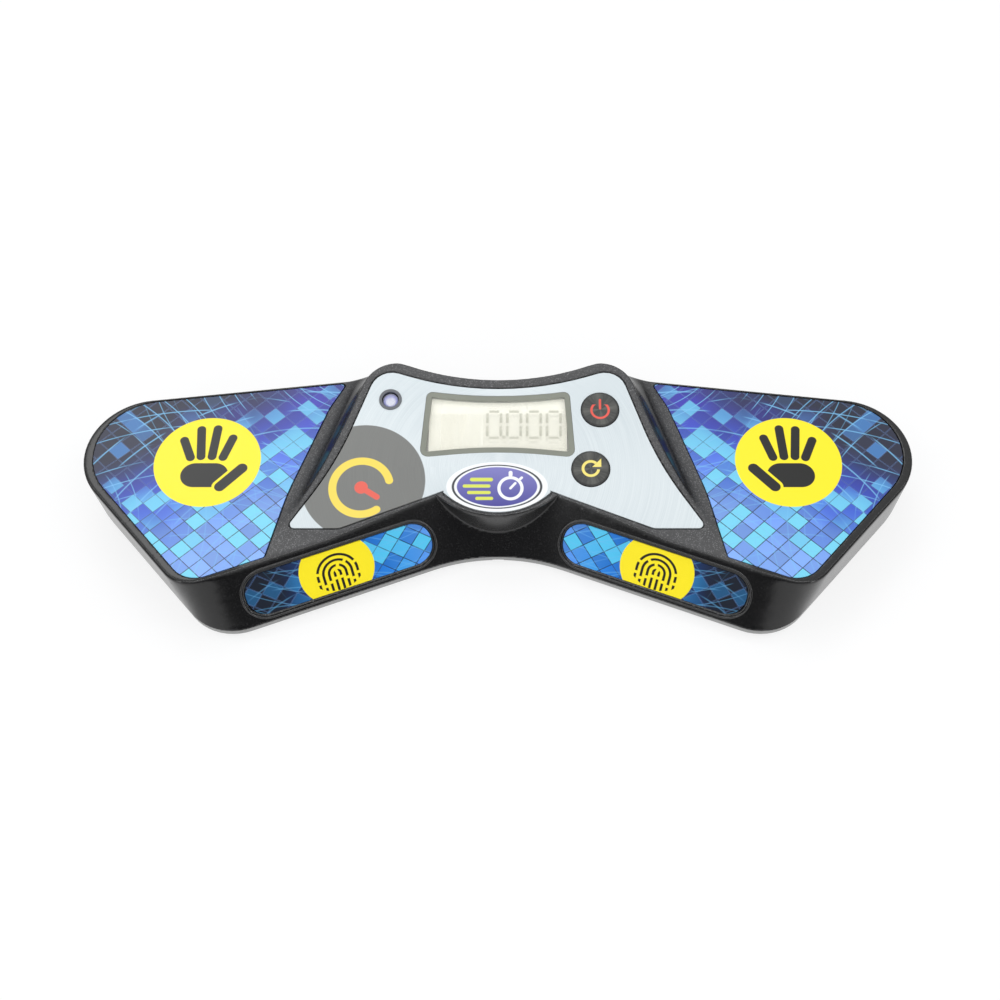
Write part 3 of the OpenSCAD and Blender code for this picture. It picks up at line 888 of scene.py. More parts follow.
@dataclass(frozen=True)
class Crystal:
    """The cream liquid-crystal panel with four faint noughts, painted shade towards its
    edges, a painted shadow round the strokes and a faint painted glow.
    """

    name: str = "crystal_panel"
    face: Display = Display()
    cream: Colour = srgb(247, 245, 232)
    # shade: painted shade, the darker cream towards the panel's edges under the bezel, also
    # mixed in faintly as cloudy mottle
    shade: Colour = srgb(226, 223, 206)
    ink: Colour = srgb(186, 184, 165)
    digit_w: float = 4.3
    digit_h: float = 9.2
    stroke_half: float = 0.42
    stroke_gap: float = 0.62
    point_r: float = 0.62
    pitch: float = 6.35
    middle: Point = (8.3, 19.4)
    half: Point = (22.6, 9.6)
    # glow: a faint painted glow in the panel's own colour, though nothing lights it from
    # inside
    glow: float = 0.12

    def digits(self, u: Value, v: Value) -> Value:
        """Distance to four noughts and a point after the first.

        Args:
            u: place across from the middle of the row.
            v: place up from it.

        Returns:
            The distance, below zero on a stroke.
        """
        local = ((u / self.pitch).part() - 0.5) * self.pitch
        w, h, t = self.digit_w / 2, self.digit_h / 2, self.stroke_half
        upright = (abs(abs(local) - w) - t).high(
            abs(abs(v) - h / 2) - (h / 2 - self.stroke_gap))
        level = (abs(abs(v) - h) - t).high(abs(local) - (w - self.stroke_gap))
        noughts = upright.low(level).high(abs(u) - self.pitch * 2)
        return noughts.low(length(u + self.pitch, v + h - 0.2) - self.point_r)

    def make(self) -> bpy.types.Material:
        """Builds the material.

        Returns:
            The material.
        """
        s = Shader(self.name)
        x, y, _ = s.place()
        v = self.face.up(y, self.middle[1])
        digits = self.digits(x - self.middle[0], v)
        cloud = s.noise(s.vector(x, y, 1.0), 0.05, 1.0)
        # painted shade: darker within three millimetres of the window's edge, where the
        # bezel's recess shades the panel
        edge = (abs(x) - self.half[0]).high(abs(v + 0.4) - self.half[1]).ramp(-3.0, 1.0)
        shade = s.mix(edge * 0.5 + cloud * 0.12, self.cream, self.shade)
        # painted shadow: a faint soft grey halo round the strokes
        shade = s.mix((digits - 0.5).inside(0.9) * 0.12, shade, self.ink)
        shade = s.mix(digits.inside(0.2) * 0.85, shade, self.ink)
        # painted glow: the panel gives off a little light of its own colour
        s.set(Base_Color=shade, Roughness=0.4, Emission_Color=shade,
              Emission_Strength=self.glow)
        return s.done()


@dataclass(frozen=True)
class LampCup:
    """The lamp's cup, painted white in the middle as a highlight, and violet at its rim."""

    name: str = "lamp_cup_painted_highlight"
    centre: Point = LAMP_AT
    face: Display = Display()
    # white: a painted highlight in the middle of the cup
    white: Colour = srgb(244, 245, 252)
    violet: Colour = srgb(108, 112, 206)
    change_r: Point = (1.2, 1.9)

    def make(self) -> bpy.types.Material:
        """Builds the material.

        Returns:
            The material.
        """
        s = Shader(self.name)
        x, y, _ = s.place()
        reach = length(x - self.centre[0], self.face.up(y, self.centre[1]))
        haze = s.noise(s.vector(x, y, 3.0), 1.2, 2.0)
        # painted highlight: white near the middle, turning violet towards the rim
        s.set(Base_Color=s.mix(reach.ramp(*self.change_r), self.white, self.violet),
              Roughness=s.clamp(0.3 + haze * 0.2))
        return s.done()


class Sign(Enum):
    """What is printed on a button."""

    POWER = "power"
    AGAIN = "again"


@dataclass(frozen=True)
class ButtonFace:
    """Dark button top with radial brushing, a painted sheen of four bright fans and a
    printed sign.
    """

    name: str
    sign: Sign
    centre: Point
    ink: Colour
    face: Display = Display()
    dark: Colour = srgb(56, 57, 56)
    # light: the brushing's light hairs, and the bright fans of the painted sheen
    light: Colour = srgb(118, 118, 112)
    rim: Colour = srgb(38, 38, 38)
    rim_r: float = 5.2

    def make(self) -> bpy.types.Material:
        """Builds the material.

        Returns:
            The material.
        """
        s = Shader(self.name)
        x, y, _ = s.place()
        u, v = x - self.centre[0], self.face.up(y, self.centre[1])
        turn, reach = s.angle(v, u), length(u, v)
        rays = s.noise(s.vector(s.math("COSINE", turn) * 9, s.math("SINE", turn) * 9,
                                reach * 0.25), 1.0, 4.0, 0.7)
        # painted sheen: four bright fans round the middle, as light on radial brushing
        painted_fan_sheen = (s.math("COSINE", turn * 4 - 0.7) * 0.5 + 0.5) ** 3
        shade = s.mix(rays.ramp(0.35, 0.8) * 0.35 + painted_fan_sheen * 0.32, self.dark, self.light)
        shade = s.mix((reach - self.rim_r).ramp(0.0, 0.5) * 0.7, shade, self.rim)
        sign = self.power(u, v) if self.sign is Sign.POWER else self.again(s, u, v)
        s.set(Base_Color=s.mix(sign.inside(0.14), shade, self.ink), Metallic=0.2,
              Roughness=s.clamp(0.32 + (rays - 0.5) * 0.2))
        s.bump(rays, 0.1, 0.02)
        return s.done()

    @staticmethod
    def power(x: Value, y: Value) -> Value:
        """A ring open at the top with a stroke in the gap."""
        arc = ring(x, y + 0.3, 2.75, 0.36).high(y - 1.7)
        return arc.low(capsule(x, y, (0.0, 0.3), (0.0, 3.3), 0.36))

    @staticmethod
    def again(s: Shader, x: Value, y: Value) -> Value:
        """A ring with an arrow head at its upper right.

        Args:
            s: the shader.
            x: place across from the button's middle.
            y: place up from it.

        Returns:
            The distance, below zero on the sign.
        """
        gap = (0.47 - abs(s.angle(y, x) - 0.35)) * 2.5
        head = (x - 3.3).high(0.55 - y).high((y - x - 0.1) * 0.707)
        return ring(x, y, 2.45, 0.44).high(gap).low(head)


# ----------------------------------------------------------------- meshes


def make_object(name: str, points: Sequence[Sequence[float]],
                faces: Sequence[Sequence[int]], material: bpy.types.Material,
                smooth: bool = True) -> bpy.types.Object:
    """Makes an object of a mesh given in millimetres.

    Args:
        name: the piece's name.
        points: corners in millimetres.
        faces: corner numbers of each face.
        material: its finish.
        smooth: shade it smooth.

    Returns:
        The object, in the scene.
    """
    mesh = bpy.data.meshes.new(name)
    mesh.from_pydata((np.asarray(points, float) * MM).tolist(), [], list(faces))
    mesh.validate()
    mesh.materials.append(material)
    mesh.polygons.foreach_set("use_smooth", [smooth] * len(mesh.polygons))
    obj = bpy.data.objects.new(name, mesh)
    bpy.context.scene.collection.objects.link(obj)
    LOG.info("piece %s: %d faces", name, len(mesh.polygons))
    return obj


def lathe(name: str, profile: Sequence[Point], place: np.ndarray, axes: np.ndarray,
          material: bpy.types.Material, steps: int = 96) -> bpy.types.Object:
    """Turns a profile round an axis.

    Args:
        name: the piece's name.
        profile: (radius, height) pairs, the first and last on the axis.
        place: where the axis starts.
        axes: rows of the frame, the axis last.
        material: its finish.
        steps: facets round the axis.

    Returns:
        The object.
    """
    points, faces = [], []
    for r, h in profile[1:-1]:
        for k in range(steps):
            a = 2 * math.pi * k / steps
            points.append(place + np.array([r * math.cos(a), r * math.sin(a), h]) @ axes)
    for i in range(len(profile) - 3):
        for k in range(steps):
            n = (k + 1) % steps
            faces.append((i * steps + k, i * steps + n, (i + 1) * steps + n,
                          (i + 1) * steps + k))
    for end, start in ((profile[0], 0), (profile[-1], (len(profile) - 3) * steps)):
        points.append(place + np.array([0.0, 0.0, end[1]]) @ axes)
        tip = len(points) - 1
        for k in range(steps):
            pair = (start + k, start + (k + 1) % steps)
            faces.append((tip, pair[1], pair[0]) if start == 0 else (tip, *pair))
    return make_object(name, points, faces, material)


# ----------------------------------------------------------------- outlines


class Outline:
    """Closed plane outlines with rounded corners, like those of the frame."""

    @staticmethod
    def unit(v: np.ndarray) -> np.ndarray:
        """A vector of length one."""
        return v / np.linalg.norm(v)

    @classmethod
    def rounded(cls, corners: Sequence[Sequence[float]], k: int = 24) -> np.ndarray:
        """Rounds the corners of an outline.

        Args:
            corners: the corners as (x, y, radius).
            k: steps of each round.

        Returns:
            The outline's points.
        """
        points, n = [], len(corners)
        for i in range(n):
            v = np.array(corners[i][:2], float)
            u1 = cls.unit(np.array(corners[i - 1][:2]) - v)
            u2 = cls.unit(np.array(corners[(i + 1) % n][:2]) - v)
            half = math.acos(max(-1.0, min(1.0, float(u1 @ u2)))) / 2
            r = max(corners[i][2], 0.05)
            centre = v + cls.unit(u1 + u2) * r / math.sin(half)
            s, e = v + u1 * r / math.tan(half) - centre, v + u2 * r / math.tan(half) - centre
            start = math.atan2(s[1], s[0])
            turn = (math.atan2(e[1], e[0]) - start + math.pi) % (2 * math.pi) - math.pi
            points += [centre + r * np.array([math.cos(start + turn * j / k),
                                              math.sin(start + turn * j / k)])
                       for j in range(k + 1)]
        return np.array(points)

    @staticmethod
    def meet(a: Sequence[float], b: Sequence[float]) -> Point:
        """Where two lines n.p = d meet."""
        det = a[0] * b[1] - a[1] * b[0]
        return ((a[2] * b[1] - b[2] * a[1]) / det, (a[0] * b[2] - b[0] * a[2]) / det)

    @staticmethod
    def both(half: Sequence[Sequence[float]], front: Sequence[Sequence[float]],
             back: Sequence[Sequence[float]]) -> list[Sequence[float]]:
        """Corners of the whole outline from those of its right half."""
        return list(front) + list(half) + list(back) + [
            (-c[0], *c[1:]) for c in reversed(half)]


@dataclass(frozen=True)
class Housing:
    """Plan of the housing, in the sizes of the frame."""

    width: float = 265.0
    depth: float = 85.8
    wing_z: float = 21.5
    seam_z: float = 4.0
    front_a: float = 21.3
    slope: float = 56.5
    side_a: float = 48.6
    back_a: float = 6.9
    tip_r: float = 21.6
    low_r: float = 17.0
    top_r: float = 10.5
    lean: float = 1.2
    front_mid_r: float = 57.0
    back_mid_r: float = 85.0
    back_x: float = 34.5
    back_r: float = 8.0
    back_mid_y: float = 30.0

    def front(self, d: float) -> tuple[float, float, float]:
        """A line along the front face."""
        a = math.radians(self.front_a)
        return (-math.sin(a), -math.cos(a), d)

    def side(self, d: float) -> tuple[float, float, float]:
        """A line along the outer wall."""
        a = math.radians(self.side_a)
        return (math.sin(a), -math.cos(a), d)

    def back(self, d: float) -> tuple[float, float, float]:
        """A line along the back wall."""
        a = math.radians(self.back_a)
        return (math.sin(a), math.cos(a), d)

    def distances(self) -> tuple[float, float, float]:
        """Distances of the walls' lines from the middle of the plan.

        Returns:
            The front line at the seam, the side line and the back line.
        """
        b = self.back(0)
        back_d = b[0] * self.back_x + b[1] * self.depth / 2
        tip_x = self.width / 2 - self.tip_r
        tip_y = (back_d - self.tip_r - b[0] * tip_x) / b[1]
        s = self.side(0)
        side_d = s[0] * tip_x + s[1] * tip_y + self.tip_r
        low_y = self.low_r - self.depth / 2
        low_x = (side_d - self.lean - self.low_r - s[1] * low_y) / s[0]
        f = self.front(0)
        return f[0] * low_x + f[1] * low_y + self.low_r, side_d, back_d

    def ring(self, z: float) -> np.ndarray:
        """The outline at a height.

        Args:
            z: the height.

        Returns:
            The outline's points.
        """
        front_d, side_d, back_d = self.distances()
        u = (z - self.seam_z) / (self.wing_z - self.seam_z)
        f = self.front(front_d - (z - self.seam_z) / math.tan(math.radians(self.slope)))
        s, b = self.side(side_d - self.lean * (1 - u)), self.back(back_d)
        half = [(*Outline.meet(f, s), self.low_r + (self.top_r - self.low_r) * u),
                (*Outline.meet(s, b), self.tip_r),
                (self.back_x, self.depth / 2, self.back_r)]
        return Outline.rounded(Outline.both(half, [(0, f[2] / f[1], self.front_mid_r)],
                                            [(0, self.back_mid_y, self.back_mid_r)]))

    def front_face(self) -> FrontFace:
        """The sloped front face's plane.

        Returns:
            The plane, its origin at the foot of the right half's face.
        """
        d = self.distances()[0]
        a = math.radians(self.front_a)
        return FrontFace(self.front_a, self.slope,
                         (-math.sin(a) * d, -math.cos(a) * d, self.seam_z))


@dataclass(frozen=True)
class FingerSlot:
    """The slot of a finger pad on the front face: middle, half size and corners."""

    middle: Point = (54.7, 9.9)
    half: Point = (30.2, 7.3)
    r: float = 6.7


# ----------------------------------------------------------------- the top shell


class Field:
    """Signed distances on a grid over the timer, below zero inside the plastic."""

    def __init__(self, low: Sequence[float], high: Sequence[float], step: float) -> None:
        """Sets up the grid.

        Args:
            low: lowest corner.
            high: highest corner.
            step: distance between grid points.
        """
        self.low, self.step = np.array(low, float), step
        self.axes = [np.arange(a, b + step, step, dtype=np.float32)
                     for a, b in zip(low, high)]
        self.x = self.axes[0][:, None, None]
        self.y = self.axes[1][None, :, None]
        self.z = self.axes[2][None, None, :]
        self.plan_x, self.plan_y = np.meshgrid(self.axes[0], self.axes[1], indexing="ij")

    @staticmethod
    def cut(a: np.ndarray, b: np.ndarray, r: float) -> np.ndarray:
        """Inside both, with the edge between them rounded."""
        return (np.minimum(np.maximum(a, b), -r)
                + np.hypot(np.maximum(a + r, 0), np.maximum(b + r, 0)))

    def outline(self, points: np.ndarray) -> np.ndarray:
        """Distance to a closed outline in plan.

        Args:
            points: the outline's points.

        Returns:
            The distances on the plan's grid, below zero inside.
        """
        best = np.full(self.plan_x.shape, 1e9, np.float32)
        inside = np.zeros(self.plan_x.shape, bool)
        for a, b in zip(points, np.roll(points, -1, axis=0)):
            ex, ey = b - a
            if ex * ex + ey * ey < 1e-9:
                continue
            px, py = self.plan_x - a[0], self.plan_y - a[1]
            t = np.clip((px * ex + py * ey) / (ex * ex + ey * ey), 0, 1)
            best = np.minimum(best, (px - t * ex) ** 2 + (py - t * ey) ** 2)
            if ey != 0:
                crosses = (self.plan_y >= min(a[1], b[1])) & (self.plan_y < max(a[1], b[1]))
                inside ^= crosses & (px < (self.plan_y - a[1]) * ex / ey)
        return (np.sqrt(best) * np.where(inside, -1, 1)).astype(np.float32)

    def along(self, plan: np.ndarray, face: Display) -> np.ndarray:
        """A plan outline carried square to the display face through the grid.

        Args:
            plan: distances to the outline on the plan's grid.
            face: the display face.

        Returns:
            The distances on the whole grid.
        """
        t = math.radians(face.tilt)
        out = np.empty((*plan.shape, len(self.axes[2])), np.float32)
        for k, z in enumerate(self.axes[2]):
            y = (face.line_y + (self.axes[1] - face.line_y) * math.cos(t) ** 2
                 + (z - face.wing_z) * math.sin(t) * math.cos(t))
            place = np.clip((y - self.axes[1][0]) / self.step, 0, plan.shape[1] - 1.001)
            first = place.astype(int)
            share = (place - first).astype(np.float32)
            out[:, :, k] = plan[:, first] * (1 - share) + plan[:, first + 1] * share
        return out

    def mesh(self, values: np.ndarray, name: str, material: bpy.types.Material,
             merge: float) -> bpy.types.Object:
        """Makes an object of the plastic's surface.

        Args:
            values: the distances on the grid.
            name: the piece's name.
            material: its finish.
            merge: how far flat parts are merged.

        Returns:
            The object.
        """
        grid = openvdb.FloatGrid(float(values.max()))
        grid.copyFromArray(np.ascontiguousarray(values, np.float32))
        points, triangles, quads = grid.convertToPolygons(isovalue=0.0, adaptivity=merge)
        faces = [tuple(face[::-1]) for face in quads.tolist() + triangles.tolist()]
        return make_object(name, points * self.step + self.low, faces, material)


@dataclass(frozen=True)
class Surfaces:
    """Distances on the grid to the shell's outer surfaces, below zero inside each."""

    wall: np.ndarray
    over: np.ndarray
    back: np.ndarray


@dataclass
class TopShell:
    """The upper housing with its rounded edges, recesses and openings."""

    plan: Housing = field(default_factory=Housing)
    face: Display = field(default_factory=Display)
    slot: FingerSlot = field(default_factory=FingerSlot)
    grid_low: tuple[float, float, float] = (-134.0, -44.6, 2.0)
    grid_high: tuple[float, float, float] = (134.0, 44.6, 33.6)
    wall: float = 2.4
    roof: float = 2.5
    edge_r: float = 1.0
    rim_r: float = 0.6
    recess_r: float = 0.25
    scoop_r: float = 11.5
    scoop_dip: float = 0.15
    scoop_turn: float = -72.3
    scoop_corner: float = 1.6
    corner_at: Point = (32.8, 29.3)
    corner_ring: float = 22.55
    back_mid_y: float = 28.5
    rear_corner: Point = (54.0, 48.8)
    front_corner: Point = (100.0, -60.0)
    lip_r: float = 29.9
    lip_mid: float = 12.8
    lip_lean: float = 5.5
    lip_edge_r: float = 0.5
    lip_half: float = 20.0
    lip_z: float = 9.0
    lip_y: float = 8.0
    pad_deep: float = 0.9
    sheet_t: float = 0.5
    sheet_gap: float = 0.22
    sheet_edge_r: float = 0.2
    boss_at: tuple[Point, ...] = ((111.5, 12.0), (83.5, -24.0), (55.0, 31.0))
    boss_r: float = 3.0
    boss_bore_r: float = 1.45
    boss_bore_top: float = 12.4
    boss_foot: float = 0.1
    boss_roof: float = 1.5
    hand_front_x: float = 71.0
    hand_back_x: float = 50.2
    hand_inset: tuple[float, float, float] = (1.1, 3.0, 1.0)
    hand_end_r: float = 1.0
    hand_side_r: float = 9.0
    hand_tip_less: float = 1.4
    hand_inner: tuple[Corner, ...] = ((55.2, 30.0, 25.0), (66.0, -3.0, 90.0))
    sheet_half: tuple[Corner, ...] = (
        (17.2, -4.2, 0.8), (48.7, -16.4, 5.0), (65.3, -16.4, 1.4), (50.8, 5.0, 110.0),
        (38.6, 38.5, 7.0))
    sheet_front: Corner = (0.0, 4.0, 2.0)
    sheet_back: Corner = (0.0, 26.2, 95.0)
    tongue_y: float = 13.0
    tongue_r: float = 24.5
    tongue_half: float = 16.7
    tongue_back: float = 6.0
    button_hole_r: float = 6.25
    lamp_hole_r: float = 2.95
    window_y: float = 18.4
    window_half: Point = (22.9, 10.6)
    window_deep: float = 6.0
    socket_z: float = 8.0
    socket_r: float = 3.2
    socket_y: float = 31.0

    def build(self, step: float, merge: float,
              material: bpy.types.Material) -> bpy.types.Object:
        """Makes the shell.

        Args:
            step: grid step in millimetres.
            merge: how far flat parts are merged.
            material: its finish.

        Returns:
            The object, riding on the timer.
        """
        g = Field(self.grid_low, self.grid_high, step)
        at = self.surfaces(g)
        solid = np.minimum(self.outside(g, at), self.lip(g, at.over))
        solid = np.maximum(solid, -self.hollow(g, at))
        solid = self.bosses(g, solid)
        solid = self.pad_recesses(g, solid)
        solid = self.finger_recess(g, solid)
        solid = self.sheet_recess(g, solid, at.over)
        solid = self.openings(g, solid, at.over)
        solid = np.maximum(solid, self.plan.seam_z - g.z)
        shell = g.mesh(solid, "top_shell", material, merge)
        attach(shell, "timer")
        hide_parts("top_housing")
        return shell

    def surfaces(self, g: Field) -> Surfaces:
        """The outer wall, the display face and the back of the raised middle.

        Args:
            g: the grid.

        Returns:
            Their distances.
        """
        p = self.plan
        low, high = g.outline(p.ring(p.seam_z)), g.outline(p.ring(p.wing_z))
        lean = (high - low) / (p.wing_z - p.seam_z)
        wall = ((low[:, :, None] + lean[:, :, None] * (g.z - p.seam_z))
                / np.sqrt(1 + lean * lean)[:, :, None])
        over = (g.z - self.face.height(g.y)) * math.cos(math.radians(self.face.tilt))
        front = (*self.front_corner, 1.0)
        corners = Outline.both([(*self.rear_corner, 1.0)], [front],
                               [(0, self.back_mid_y, p.back_mid_r)])
        corners.append((-front[0], *front[1:]))
        return Surfaces(wall, over, g.along(g.outline(Outline.rounded(corners)), self.face))

    def scoop(self, g: Field, r: float) -> np.ndarray:
        """The hollow flank of the raised middle.

        Args:
            g: the grid.
            r: radius of the hollow.

        Returns:
            The distances, above zero where the hollow is.
        """
        a = math.radians(self.scoop_turn)
        ns = np.array([-math.sin(a), math.cos(a)])
        nb = np.array([-ns[1], ns[0]])
        px, py = np.abs(g.plan_x) - self.corner_at[0], g.plan_y - self.corner_at[1]
        out, back = px * ns[0] + py * ns[1], px * nb[0] + py * nb[1]
        u = np.where(back > 0, np.where(out > 0, np.hypot(out, back),
                                        back - self.scoop_corner * np.abs(out)), out)
        u = (u - self.corner_ring)[:, :, None]
        centre = self.plan.wing_z + self.scoop_r - self.scoop_dip
        return r - np.hypot(np.minimum(u, 0), np.minimum(g.z - centre, 0))

    def outside(self, g: Field, at: Surfaces) -> np.ndarray:
        """The raised middle and the wings, filled.

        Args:
            g: the grid.
            at: distances to the outer surfaces.

        Returns:
            The distances, below zero inside.
        """
        middle = g.cut(g.cut(self.scoop(g, self.scoop_r), at.over, self.rim_r), at.back,
                       self.rim_r)
        return g.cut(np.minimum(middle, g.z - self.plan.wing_z), at.wall, self.edge_r)

    def lip(self, g: Field, over: np.ndarray) -> np.ndarray:
        """The round lip in the middle of the front.

        Args:
            g: the grid.
            over: distances to the display face.

        Returns:
            The distances, below zero in the lip.
        """
        lean = math.tan(math.radians(self.lip_lean))
        y = self.lip_r - self.lip_mid
        lip = np.hypot(g.x, g.y - y + (g.z - self.face.height(y)) * lean) - self.lip_r
        lip = g.cut(lip, over, self.lip_edge_r)
        box = np.maximum(np.abs(g.x) - self.lip_half,
                         np.maximum(self.lip_z - g.z, g.y - self.lip_y))
        return np.maximum(lip, box)

    def hollow(self, g: Field, at: Surfaces) -> np.ndarray:
        """The room inside the shell.

        Args:
            g: the grid.
            at: distances to the outer surfaces.

        Returns:
            The distances, below zero in the room.
        """
        slope = math.cos(math.radians(self.face.tilt))
        inner = np.maximum(np.maximum(self.scoop(g, self.scoop_r + self.roof),
                                      at.over + self.roof * slope), at.back + self.wall)
        inner = np.minimum(inner, g.z - self.plan.wing_z + self.roof)
        return np.maximum(inner, at.wall + self.wall)

    def bosses(self, g: Field, solid: np.ndarray) -> np.ndarray:
        """Adds the pillars that the housing screws go into.

        Args:
            g: the grid.
            solid: the shell so far.

        Returns:
            The shell with its pillars.
        """
        bottom = self.plan.seam_z + self.boss_foot
        for x, y in self.boss_at:
            reach = np.hypot(np.abs(g.x) - x, g.y - y)
            post = np.maximum(np.maximum(reach - self.boss_r, bottom - g.z),
                              g.z - self.plan.wing_z + self.boss_roof)
            solid = np.minimum(solid, post)
            bore = np.maximum(reach - self.boss_bore_r, g.z - self.boss_bore_top)
            solid = np.maximum(solid, -bore)
        return solid

    def pad_recesses(self, g: Field, solid: np.ndarray) -> np.ndarray:
        """Cuts the recesses of both hand pads.

        Args:
            g: the grid.
            solid: the shell so far.

        Returns:
            The shell with the recesses.
        """
        p = self.plan
        front_d, side_d, back_d = p.distances()
        rise = p.wing_z - p.seam_z
        in_front, in_side, in_back = self.hand_inset
        f = p.front(front_d - rise / math.tan(math.radians(p.slope)) - in_front)
        s, b = p.side(side_d - in_side), p.back(back_d - in_back)
        front_x, back_x = self.hand_front_x, self.hand_back_x
        hand = g.outline(Outline.rounded([
            (front_x, (f[2] - f[0] * front_x) / f[1], self.hand_end_r),
            (*Outline.meet(f, s), self.hand_side_r),
            (*Outline.meet(s, b), p.tip_r - self.hand_tip_less),
            (back_x, (b[2] - b[0] * back_x) / b[1], self.hand_end_r),
            *self.hand_inner]))
        hand = np.minimum(hand, hand[::-1])[:, :, None]
        return g.cut(solid, -np.maximum(hand, p.wing_z - self.pad_deep - g.z),
                     self.recess_r)

    def finger_recess(self, g: Field, solid: np.ndarray) -> np.ndarray:
        """Cuts the recesses of both finger pads.

        Args:
            g: the grid.
            solid: the shell so far.

        Returns:
            The shell with the recesses.
        """
        face, slot = self.plan.front_face(), self.slot
        px, py, pz = np.abs(g.x), g.y - face.foot[1], g.z - face.foot[2]
        px = px - face.foot[0]
        along, up, out = (px * e[0] + py * e[1] + pz * e[2] for e in face.axes())
        q1 = np.abs(along - slot.middle[0]) - (slot.half[0] - slot.r)
        q2 = np.abs(up - slot.middle[1]) - (slot.half[1] - slot.r)
        pill = (np.hypot(np.maximum(q1, 0), np.maximum(q2, 0))
                + np.minimum(np.maximum(q1, q2), 0) - slot.r)
        return g.cut(solid, -np.maximum(pill, -out - self.pad_deep), self.recess_r)

    def sheet_recess(self, g: Field, solid: np.ndarray, over: np.ndarray) -> np.ndarray:
        """Cuts the recess of the silver sheet.

        Args:
            g: the grid.
            solid: the shell so far.
            over: distances to the display face.

        Returns:
            The shell with the recess.
        """
        outline = Outline.rounded(
            Outline.both(self.sheet_half, [self.sheet_front], [self.sheet_back]))
        tongue = np.maximum(
            np.hypot(g.plan_x, g.plan_y - self.tongue_y) - self.tongue_r,
            np.maximum(np.abs(g.plan_x) - self.tongue_half, g.plan_y - self.tongue_back))
        sheet = np.minimum(g.outline(outline), tongue)
        groove = g.along(sheet, self.face) - self.sheet_gap
        return g.cut(solid, -np.maximum(groove, -over - self.sheet_t), self.sheet_edge_r)

    def openings(self, g: Field, solid: np.ndarray, over: np.ndarray) -> np.ndarray:
        """Cuts the holes of the buttons, the lamp, the window and the socket.

        Args:
            g: the grid.
            solid: the shell so far.
            over: distances to the display face.

        Returns:
            The shell with its holes.
        """
        deep = math.sin(math.radians(self.face.tilt))
        for (x, y), r in ((POWER_AT, self.button_hole_r), (AGAIN_AT, self.button_hole_r),
                          (LAMP_AT, self.lamp_hole_r)):
            hole = np.hypot(g.x - x, (g.y - y + over * deep)) - r
            solid = np.maximum(solid, -hole)
        window = np.maximum(
            np.abs(g.x) - self.window_half[0],
            np.abs(g.y - self.window_y + over * deep) - self.window_half[1])
        solid = np.maximum(solid, -np.maximum(window, -over - self.window_deep))
        socket = np.hypot(g.x, g.z - self.socket_z) - self.socket_r
        return np.maximum(solid, -np.maximum(socket, self.socket_y - g.y))


# ----------------------------------------------------------------- buttons and lamp


@dataclass
class Controls:
    """The two button caps and the lamp's lens, with their soft edges."""

    face: Display = field(default_factory=Display)
    button_r: float = 6.0
    proud: float = 0.4
    edge_r: float = 0.35
    dish: float = 0.12
    flange_r: float = 6.6
    flange_top: float = 2.512
    cap_bottom: float = 3.412
    power_ink: Colour = srgb(226, 88, 76)
    again_ink: Colour = srgb(240, 222, 120)
    lamp_r: float = 2.55
    lamp_bottom: float = 5.4

    def frame_at(self, at: Point) -> tuple[np.ndarray, np.ndarray]:
        """A point on the display face.

        Args:
            at: the point in plan.

        Returns:
            The point, and the face's axes as rows.
        """
        t = math.radians(self.face.tilt)
        axes = np.array([[1, 0, 0], [0, math.cos(t), math.sin(t)],
                         [0, -math.sin(t), math.cos(t)]])
        return np.array([at[0], at[1], self.face.height(at[1])]), axes

    def cap_profile(self) -> list[Point]:
        """Half section of a cap.

        Returns:
            (radius, height) pairs from the top's middle round to the underside's.
        """
        r, top, edge = self.button_r, self.proud, self.edge_r
        turn = [(r - edge + edge * math.sin(a), top - edge + edge * math.cos(a))
                for a in np.linspace(0, math.pi / 2, 7)]
        dish = [(r * s, top - self.dish * (1 - (s / 0.9) ** 2))
                for s in (0.15, 0.4, 0.65, 0.86)]
        return [(0, top - self.dish), *dish, *turn, (r, -self.flange_top),
                (self.flange_r, -self.flange_top), (self.flange_r, -self.cap_bottom),
                (0, -self.cap_bottom)]

    def build(self) -> None:
        """Makes the caps and the lamp."""
        self.cap("power_button", POWER_AT, Sign.POWER, self.power_ink)
        self.cap("reset_button", AGAIN_AT, Sign.AGAIN, self.again_ink)
        self.lamp()

    def cap(self, node: str, at: Point, sign: Sign, ink: Colour) -> None:
        """Makes a button cap.

        Args:
            node: the name of the button's node, and of its body.
            at: its middle in plan.
            sign: what is printed on it.
            ink: the print's colour.
        """
        place, axes = self.frame_at(at)
        finish = ButtonFace(f"{node}_face", sign, at, ink, self.face)
        cap = lathe(f"{node}_cap", self.cap_profile(), place, axes, finish.make())
        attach(cap, node)
        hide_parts(node)

    def lamp(self) -> None:
        """Makes the clear lens with the white cup that shows in it."""
        place, axes = self.frame_at(LAMP_AT)
        dome = [(self.lamp_r * math.sin(a) ** 0.8, -0.9 + 0.8 * math.cos(a))
                for a in np.linspace(0, math.pi / 2, 14)]
        lens = lathe("lamp_dome", [*dome, (self.lamp_r, -self.lamp_bottom),
                                   (0, -self.lamp_bottom)], place, axes,
                     Clear("lamp_clear", srgb(240, 242, 255), 0.3, 0.03).make())
        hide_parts("lamp_lens")
        cup = [(0, -1.7), (0.9, -1.68), (1.2, -1.5), (1.5, -1.25), (2.3, -1.05),
               (2.4, -1.2), (2.4, -4.0), (0, -4.0)]
        bowl = lathe("lamp_cup", cup, place, axes, LampCup().make(), 48)
        for piece in (lens, bowl):
            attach(piece, "timer")


